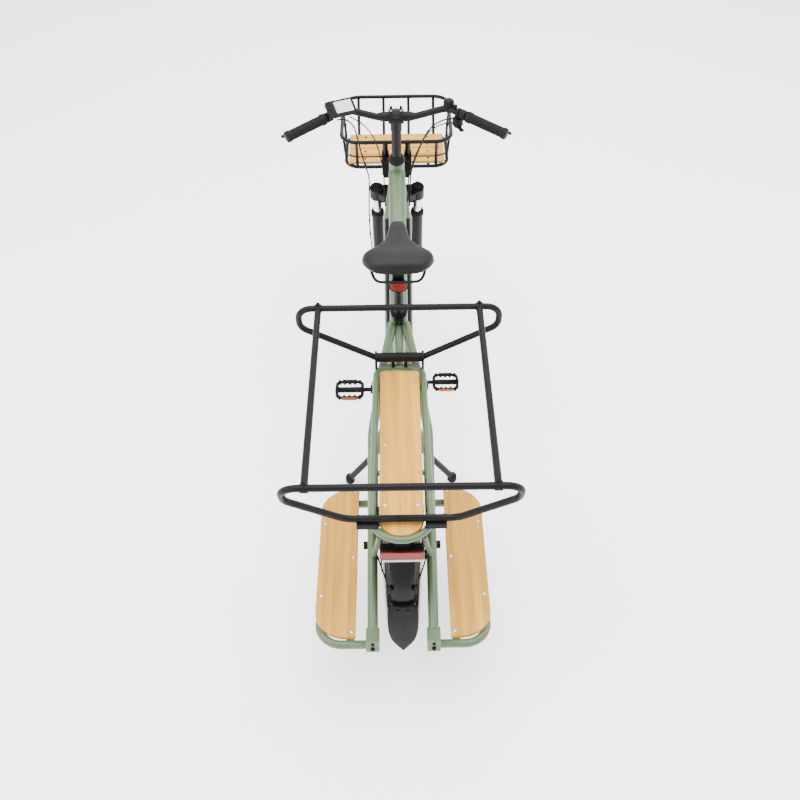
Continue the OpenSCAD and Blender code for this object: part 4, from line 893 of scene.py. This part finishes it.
for side, name in ((-1, "left"), (1, "right")):
    pedal = next(j for j in frame["joints"] if j["name"] == name + "_pedal_turn")
    at = Vector(pedal["pos_m"])
    tilt = Matrix.Rotation(math.radians(4), 3, "X")
    fwd, up = tilt @ Y, tilt @ Z
    def on_pedal(x, y, z):
        return at + X * x / 1000 + fwd * y / 1000 + up * z / 1000

    frame_path = [on_pedal(x, y, 0) for x, y in round_outline([(42, 36, 14), (-42, 36, 14), (-42, -36, 14), (42, -36, 14)])]
    bars = [sweep_data(frame_path, 5.5, 14, True), sweep_data([on_pedal(-44, 0, 0), on_pedal(44, 0, 0)], 9.5, 24)]
    side = 1 if name == "right" else -1
    bars.append(sweep_data([on_pedal(-side * 76, 0, 0), on_pedal(-side * 40, 0, 0)], 6.9, 24))
    bars.append(sweep_data([on_pedal(side * 42, 0, 0), on_pedal(side * 48, 0, 0)], 8.0, 20))
    for s in (-1, 1):
        bars += [sweep_data([on_pedal(x, s * 35, -8.5), on_pedal(x, s * 35, 8.5)], 4.2, 12) for x in (-34, -17, 0, 17, 34)]
        bars += [sweep_data([on_pedal(x, s * 40, -4), on_pedal(x, s * 40, 4)], 3.6, 12) for x in (-34, -17, 0, 17, 34)]
    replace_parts(add_mesh("pedal_cage_" + name, *gather(bars), PLASTIC, name + "_pedal"), "pedal_" + name)
    strips = [box_data((at + fwd * s * 0.0415) * 1000, (50, 4, 11), (X, fwd, up)) for s in (-1, 1)]
    # the amber glow of the pedal reflectors is painted glow
    add_mesh("pedal_reflectors_" + name, *gather(strips), AMBER, name + "_pedal", bevel=0.8)

# ---------- display screen ----------


def screen_material():
    s = Shader("display_glass")
    s.set(Roughness=0.08, Coat_Weight=0.8, Coat_Roughness=0.03)
    s.link(s.ramp(s.noise(20, 2), [(0.3, (0.36, 0.42, 0.38)), (0.7, (0.42, 0.48, 0.44))]), s.bsdf.inputs["Base Color"])
    s.bump(s.noise(300, 2), 0.05, 0.0001)
    return s


SCREEN = screen_material()
key = next(j for j in frame["joints"] if j["name"] == "display_press")
face_up = -Vector(key["axis"]).normalized()
b_low, b_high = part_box("display_button")
button = (b_low + b_high) / 2
turn = Matrix.Rotation(math.radians(24), 3, "Z") @ Matrix.Rotation(math.radians(30), 3, "X")
su, sv, sw = turn @ X, turn @ Y, turn @ Z
centre = button * 1000 + su * 36 - sw * 8.2
body_outline = round_outline([(-47, -29, 8), (47, -29, 8), (47, 29, 8), (-47, 29, 8)])


def plate_data(outline, low, high, origin):
    n = len(outline)
    v = [(origin + su * x + sv * y + sw * low) / 1000 for x, y in outline]
    v += [(origin + su * x + sv * y + sw * high) / 1000 for x, y in outline]
    f = [tuple(reversed(range(n))), tuple(range(n, 2 * n))]
    return v, f + [(i, (i + 1) % n, n + (i + 1) % n, n + i) for i in range(n)]


add_mesh("display_shell", *plate_data(body_outline, -6.8, 6.7, centre), PLASTIC, "steering", bevel=2.6)
add_mesh("display_screen", *plate_data(round_outline([(-20, -21, 3), (38, -21, 3), (38, 21, 3), (-20, 21, 3)]), 6.0, 7.4, centre), SCREEN, "steering", bevel=0.4)
keys = [plate_data(round_outline([(-40, y - 5, 3), (-30, y - 5, 3), (-30, y + 5, 3), (-40, y + 5, 3)]), 6.4, 7.6, centre) for y in (-17, 17)]
add_mesh("display_keys", *gather(keys), RUBBER, "steering", bevel=0.4)

# ---------- mud flap ----------

flap_low, flap_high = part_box("mud_flap")
FY = flap_low.y * 1000 + 1.5
rows = 36
outline_w = [(0.0, 37), (0.05, 38), (0.12, 41), (0.3, 43.5), (0.5, 43), (0.66, 39), (0.8, 31), (0.92, 17), (1.0, 5)]
grid_v, grid_f = [], []
cols = 21
for side in (0, 1):
    for r in range(rows):
        t = r / (rows - 1)
        w = between(outline_w, min(t, 0.9999))
        z = flap_high.z * 1000 - t * (flap_high.z - flap_low.z) * 1000
        for c in range(cols):
            x = -1 + 2 * c / (cols - 1)
            fold = 7.0 * (abs(x) ** 2) * (1 - 0.5 * t) - 5 * math.sin(math.pi * t) * (1 - abs(x))
            rib = 1.2 * math.exp(-((x * w) / 4) ** 2)
            grid_v.append(P(x * w, FY + fold - rib - (2.6 if side else 0) + 6 * t * t, z))
for r in range(rows - 1):
    for c in range(cols - 1):
        a = r * cols + c
        b = a + rows * cols
        grid_f.append((a, a + cols, a + cols + 1, a + 1))
        grid_f.append((b, b + 1, b + cols + 1, b + cols))
edge_ring = [c for c in range(cols)] + [r * cols + cols - 1 for r in range(1, rows)]
edge_ring += [(rows - 1) * cols + c for c in range(cols - 2, -1, -1)] + [r * cols for r in range(rows - 2, 0, -1)]
for i, a in enumerate(edge_ring):
    b = edge_ring[(i + 1) % len(edge_ring)]
    grid_f.append((a, b, b + rows * cols, a + rows * cols))
flap = add_mesh("leaf_mud_flap", grid_v, grid_f, FLAP, "frame")
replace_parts(flap, "mud_flap")
add_mesh("flap_bolts", *gather([socket_bolt(P(x, FY - 3, 322), -Y, 4.2, 2.5) for x in (-14, 14)]), METAL, "frame")

# ---------- rear mudguard, crowned, with its clip and stays ----------

GUARD_R, GUARD_HALF = 277, 39
crown_line = [(GUARD_HALF * k / 8, 3.5 - 13 * (abs(k) / 8) ** 2.6) for k in range(-8, 9)]
guard_shape = [(x, GUARD_R + h) for x, h in crown_line] + [(x, GUARD_R + h - 2.6) for x, h in reversed(crown_line)]
guard_v, guard_f = [], []
GUARD_STEPS = 90
for i in range(GUARD_STEPS + 1):
    a = math.radians(13 + 138 * i / GUARD_STEPS)
    for x, r in guard_shape:
        guard_v.append((REAR * 1000 + Vector((x, -r * math.cos(a), r * math.sin(a)))) / 1000)
m = len(guard_shape)
for i in range(GUARD_STEPS):
    for k in range(m):
        guard_f.append((i * m + k, (i + 1) * m + k, (i + 1) * m + (k + 1) % m, i * m + (k + 1) % m))
guard_f += [tuple(reversed(range(m))), tuple(GUARD_STEPS * m + k for k in range(m))]
guard_parts = [(guard_v, guard_f), box_data((0, yr(350), 568), (24, 40, 50)),
               pair(sweep_data([P(36, yr(104), 380), P(62, yr(205), 366), P(70, yr(236), 365)], 2.4, 12)),
               pair(box_data((35, yr(106), 380), (8, 14, 14)))]
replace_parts(add_mesh("crowned_mudguard", *gather(guard_parts), GLOSS, "frame"), "rear_mudguard")

# ---------- skirt guards beside the rear wheel ----------

skirts = []
for t0, t1 in ((-8, 122),):
    v, f = [], []
    steps = 60
    shape = [(262, 34.5), (263.5, 38), (258, 41), (200, 47), (124, 53), (121, 55), (124, 56.5), (200, 50.5), (258, 44.5), (266, 40), (265.5, 34.5)]
    for i in range(steps + 1):
        a = math.radians(t0 + (t1 - t0) * i / steps)
        for r, x in shape:
            v.append((REAR * 1000 + Vector((x, -r * math.cos(a), r * math.sin(a)))) / 1000)
    m = len(shape)
    for i in range(steps):
        for k in range(m):
            f.append((i * m + k, i * m + (k + 1) % m, (i + 1) * m + (k + 1) % m, (i + 1) * m + k))
    f += [tuple(range(m)), tuple(steps * m + k for k in reversed(range(m)))]
    skirts.append((v, f))
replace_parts(add_mesh("skirt_guards", *pair(gather(skirts)), GLOSS, "frame"), "wheel_guards")

# ---------- fasteners and small fittings ----------

CAP = painted("rubber_foot", (0.009, 0.009, 0.009), 0.7, grain=300, depth=0.0004)
SILVER = painted("silver_bolt", (0.36, 0.36, 0.37), 0.32, metallic=1.0)
bolts = []
for s in (-1, 1):
    bolts.append(socket_bolt(P(s * 90, yr(8), 264 + 12), Z, 4.5, 3.5))
    bolts.append(socket_bolt(P(s * 84, yr(-4.5), 262), -Y, 6.2, 5))
    bolts.append(socket_bolt(P(s * 84, yr(-4.5), 282), -Y, 4.6, 3.5))
    for y in (yr(120), yr(152)):
        bolts.append(socket_bolt(P(s * 112, y, 628), Z, 4.5, 4))
    bolts.append(socket_bolt(P(s * 60, yr(781) - 11, 650), -Y, 4.2, 3))
add_mesh("frame_bolts", *gather(bolts), METAL, "frame")
stem_bolts = [socket_bolt(P(sx * 16, BAR_Y + sy * 17, BAR_H + 27), Z, 3.6, 2.6) for sx in (-1, 1) for sy in (-1, 1)]
add_mesh("stem_bolts", *gather(stem_bolts), SILVER, "steering")
axle = REAR * 1000
nuts = pair(gather([hex_nut((axle + X * 92) / 1000, X, 13, 8), lathe_data((axle + X * 92) / 1000, X, [(0, 0), (17, 0), (17, 2), (0, 2)], 32)]))
add_mesh("rear_axle_nuts", *nuts, SILVER, "frame", smooth=False)
front = Vector(next(j for j in frame["joints"] if j["name"] == "front_wheel_turn")["pos_m"]) * 1000
axle_cap = pair(lathe_data((front + X * 74) / 1000, X, [(0, 0), (13, 0), (13, 5), (11, 7), (0, 7)], 32))
add_mesh("front_axle_caps", *axle_cap, METAL, "fork_slider")
stand_low, stand_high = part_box("kickstand_legs")
feet = pair(lathe_data(P(179, yr(880), 0.4), Z, [(0, 0), (15.2, 0), (16.4, 2), (16.4, 8), (15.4, 9), (15.4, 12), (16.2, 13), (16.0, 22), (13.5, 26), (0, 26)], 36))
add_mesh("kickstand_feet", *feet, CAP, "kickstand")
spring_path = []
for k in range(200):
    t = k / 199
    a = 2 * math.pi * 16 * t
    p = P(24, yr(812) + 0, 240 - 0).lerp(P(24, yr(840), 256), t)
    spring_path.append(p + (Y * math.cos(a) + Z * math.sin(a)) * 0.0045)
add_mesh("stand_spring", *sweep_data(spring_path, 0.9, 8), STEEL, "frame")
crank_bolts = pair(gather([lathe_data((CRANK * 1000 + X * 96.5) / 1000, X, [(0, 0.4), (13.5, 0.4), (13.5, 1.8), (11.5, 2.6), (9, 2.4), (8, 0.6), (0, 0.6)], 32),
                           socket_bolt((CRANK * 1000 + X * 97) / 1000, X, 7.5, 1.6)]))
add_mesh("crank_bolts", *crank_bolts, METAL, "crank")
ring_bolts = [socket_bolt((CRANK * 1000 + Vector((53, 30 * math.cos(a), 30 * math.sin(a)))) / 1000, X, 4.6, 2.2)
              for a in [math.radians(30 + 72 * k) for k in range(5)]]
add_mesh("chainring_bolts", *gather(ring_bolts), SILVER, "crank")

# seals of the fork's sliding tubes, and its caps
SAX = Vector(STEER["axis"]).normalized()
LY = Vector((0, SAX.z, -SAX.y))


def on_steer(x, y, z):
    return crown + X * x / 1000 + LY * y / 1000 + SAX * z / 1000


seals, cups = [], []
for s in (-1, 1):
    seals.append(lathe_data(on_steer(s * 72, 28, -162), SAX, [(15.3, -1), (22.5, -1), (22.5, 5), (20, 8), (15.6, 9)], 40))
    cups.append(lathe_data(on_steer(s * 72, 28, -32), SAX, [(0, 0.2), (17, 0.2), (18.5, -1), (18.5, -3)], 36) if s < 0 else
                lathe_data(on_steer(s * 72, 28, -32), SAX, [(0, -0.5), (14, -0.5)], 36))
add_mesh("fork_seals", *gather(seals), RUBBER, "fork_slider")
add_mesh("fork_top_cap", *cups[0], METAL, "steering")
bellows = [lathe_data(on_steer(0, 0, 137 + 1.2), SAX, [(14.6, 0), (28.5, 0), (28.5, 5), (26, 9), (20, 22), (17.6, 26)], 48)]
add_mesh("headset_cover", *gather(bellows), METAL, "steering")
bell = Vector(next(j for j in frame["joints"] if j["name"] == "bell_pull")["pos_m"])
dome = lathe_data(bell, Z, [(17.4, 1), (17.8, 2), (17.6, 12), (16.2, 17), (12.5, 20.6), (6, 22.4), (0, 22.8)], 44)
add_mesh("bell_dome", *dome, METAL, "steering")

# battery: a panel, a row of gauge lamps and end seams
BAT = Vector(next(j for j in frame["joints"] if j["name"] == "battery_removal")["axis"]).normalized()
DOWN = Vector((0, -BAT.z, BAT.y))
if DOWN.z > 0:
    DOWN = -DOWN
bat_low, bat_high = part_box("battery_pack")
bat_mid = (bat_low + bat_high) / 2
face = bat_mid + BAT * 0.0192
seams = []
for d in (-0.17, 0.165):
    seams.append(box_data((face + DOWN * d) * 1000, (84.6, 2.2, 1.0), (X, DOWN, BAT)))
add_mesh("battery_seams", *gather(seams), RUBBER, "battery")
badge = box_data((face + DOWN * 0.02) * 1000, (52, 236, 1.2), (X, DOWN, BAT))
add_mesh("battery_panel", *badge, RUBBER, "battery", bevel=0.5)
lamps = [lathe_data(face + DOWN * (-0.135 + 0.008 * k) + X * 0.0, BAT, [(0, 0.8), (1.8, 0.8), (2.0, 0)], 14) for k in range(5)]
add_mesh("battery_gauge", *gather(lamps), CLEAR, "battery")

# weld beads where the frame's tubes meet


def bead(a, b, r, at=0.0, thick=1.6):
    a, b = P(*a), P(*b)
    d = (b - a).normalized()
    ring_at = a + d * at / 1000
    u, v, w = basis(d)
    path = [ring_at + (u * math.cos(t) + v * math.sin(t)) * r / 1000 for t in [2 * math.pi * k / 40 for k in range(40)]]
    return sweep_data(path, thick, 8, True)


beads = []
for s in (-1, 1):
    beads.append(bead((s * 57, yr(113), 596), (s * 80, yr(236), 368), 8.2, 6))
    beads.append(bead((s * 84, yr(42), 283), (s * 84, yr(60), 289), 14.9, 0))
beads.append(bead((0, yr(850), 621), (0, yr(925), 648), 12.7, -64))
add_mesh("weld_beads", *gather(beads), SAGE, "frame")

# ---------- floor, light and camera ----------

floor_mesh = bpy.data.meshes.new("floor")
floor_mesh.from_pydata([(-30, -30, 0), (30, -30, 0), (30, 30, 0), (-30, 30, 0)], [], [(0, 1, 2, 3)])
floor = bpy.data.objects.new("floor", floor_mesh)
bpy.context.scene.collection.objects.link(floor)
FLOOR = Shader("floor")
FLOOR.set(Roughness=0.9, Specular_IOR_Level=0.1, Emission_Color=(1, 1, 1, 1), Emission_Strength=0.9)
FLOOR.link(FLOOR.ramp(FLOOR.noise(0.6, 2), [(0.3, (0.93, 0.92, 0.925)), (0.7, (0.95, 0.94, 0.945))]),
           FLOOR.bsdf.inputs["Base Color"])
floor_mesh.materials.append(FLOOR.mat)
floor.location.z = -0.0005


def area(name, place, target, size, power):
    data = bpy.data.lights.new(name, "AREA")
    data.shape = "RECTANGLE"
    data.size, data.size_y = size
    data.energy = power
    lamp = bpy.data.objects.new(name, data)
    lamp.location = place
    lamp.rotation_euler = (Vector(target) - Vector(place)).to_track_quat("-Z", "Y").to_euler()
    bpy.context.scene.collection.objects.link(lamp)
    return lamp


area("top_light", (0, -0.2, 4.6), (0, 0, 0), (5.0, 5.0), 520)
area("left_light", (-3.6, -1.6, 2.8), (0, 0, 0.5), (2.5, 2.5), 120)
area("right_light", (3.6, 0.6, 2.6), (0, 0, 0.5), (2.5, 2.5), 80)
area("back_light", (0.4, 4.2, 2.6), (0, 0, 0.6), (3.0, 2.0), 60)
world = bpy.data.worlds.new("studio")
bpy.context.scene.world = world
world.use_nodes = True
world.node_tree.nodes["Background"].inputs["Color"].default_value = (0.93, 0.93, 0.94, 1)
world.node_tree.nodes["Background"].inputs["Strength"].default_value = 1.9

cam_data = bpy.data.cameras.new("camera")
cam_data.lens = 47.2
cam_data.sensor_width = 36
camera = bpy.data.objects.new("camera", cam_data)
camera.location = (0.0, -2.717, 2.690)
look = Matrix.Rotation(math.radians(48), 4, "X") @ Matrix.Rotation(math.radians(-0.8), 4, "Z")
camera.rotation_euler = look.to_euler()
bpy.context.scene.collection.objects.link(camera)
bpy.context.scene.camera = camera
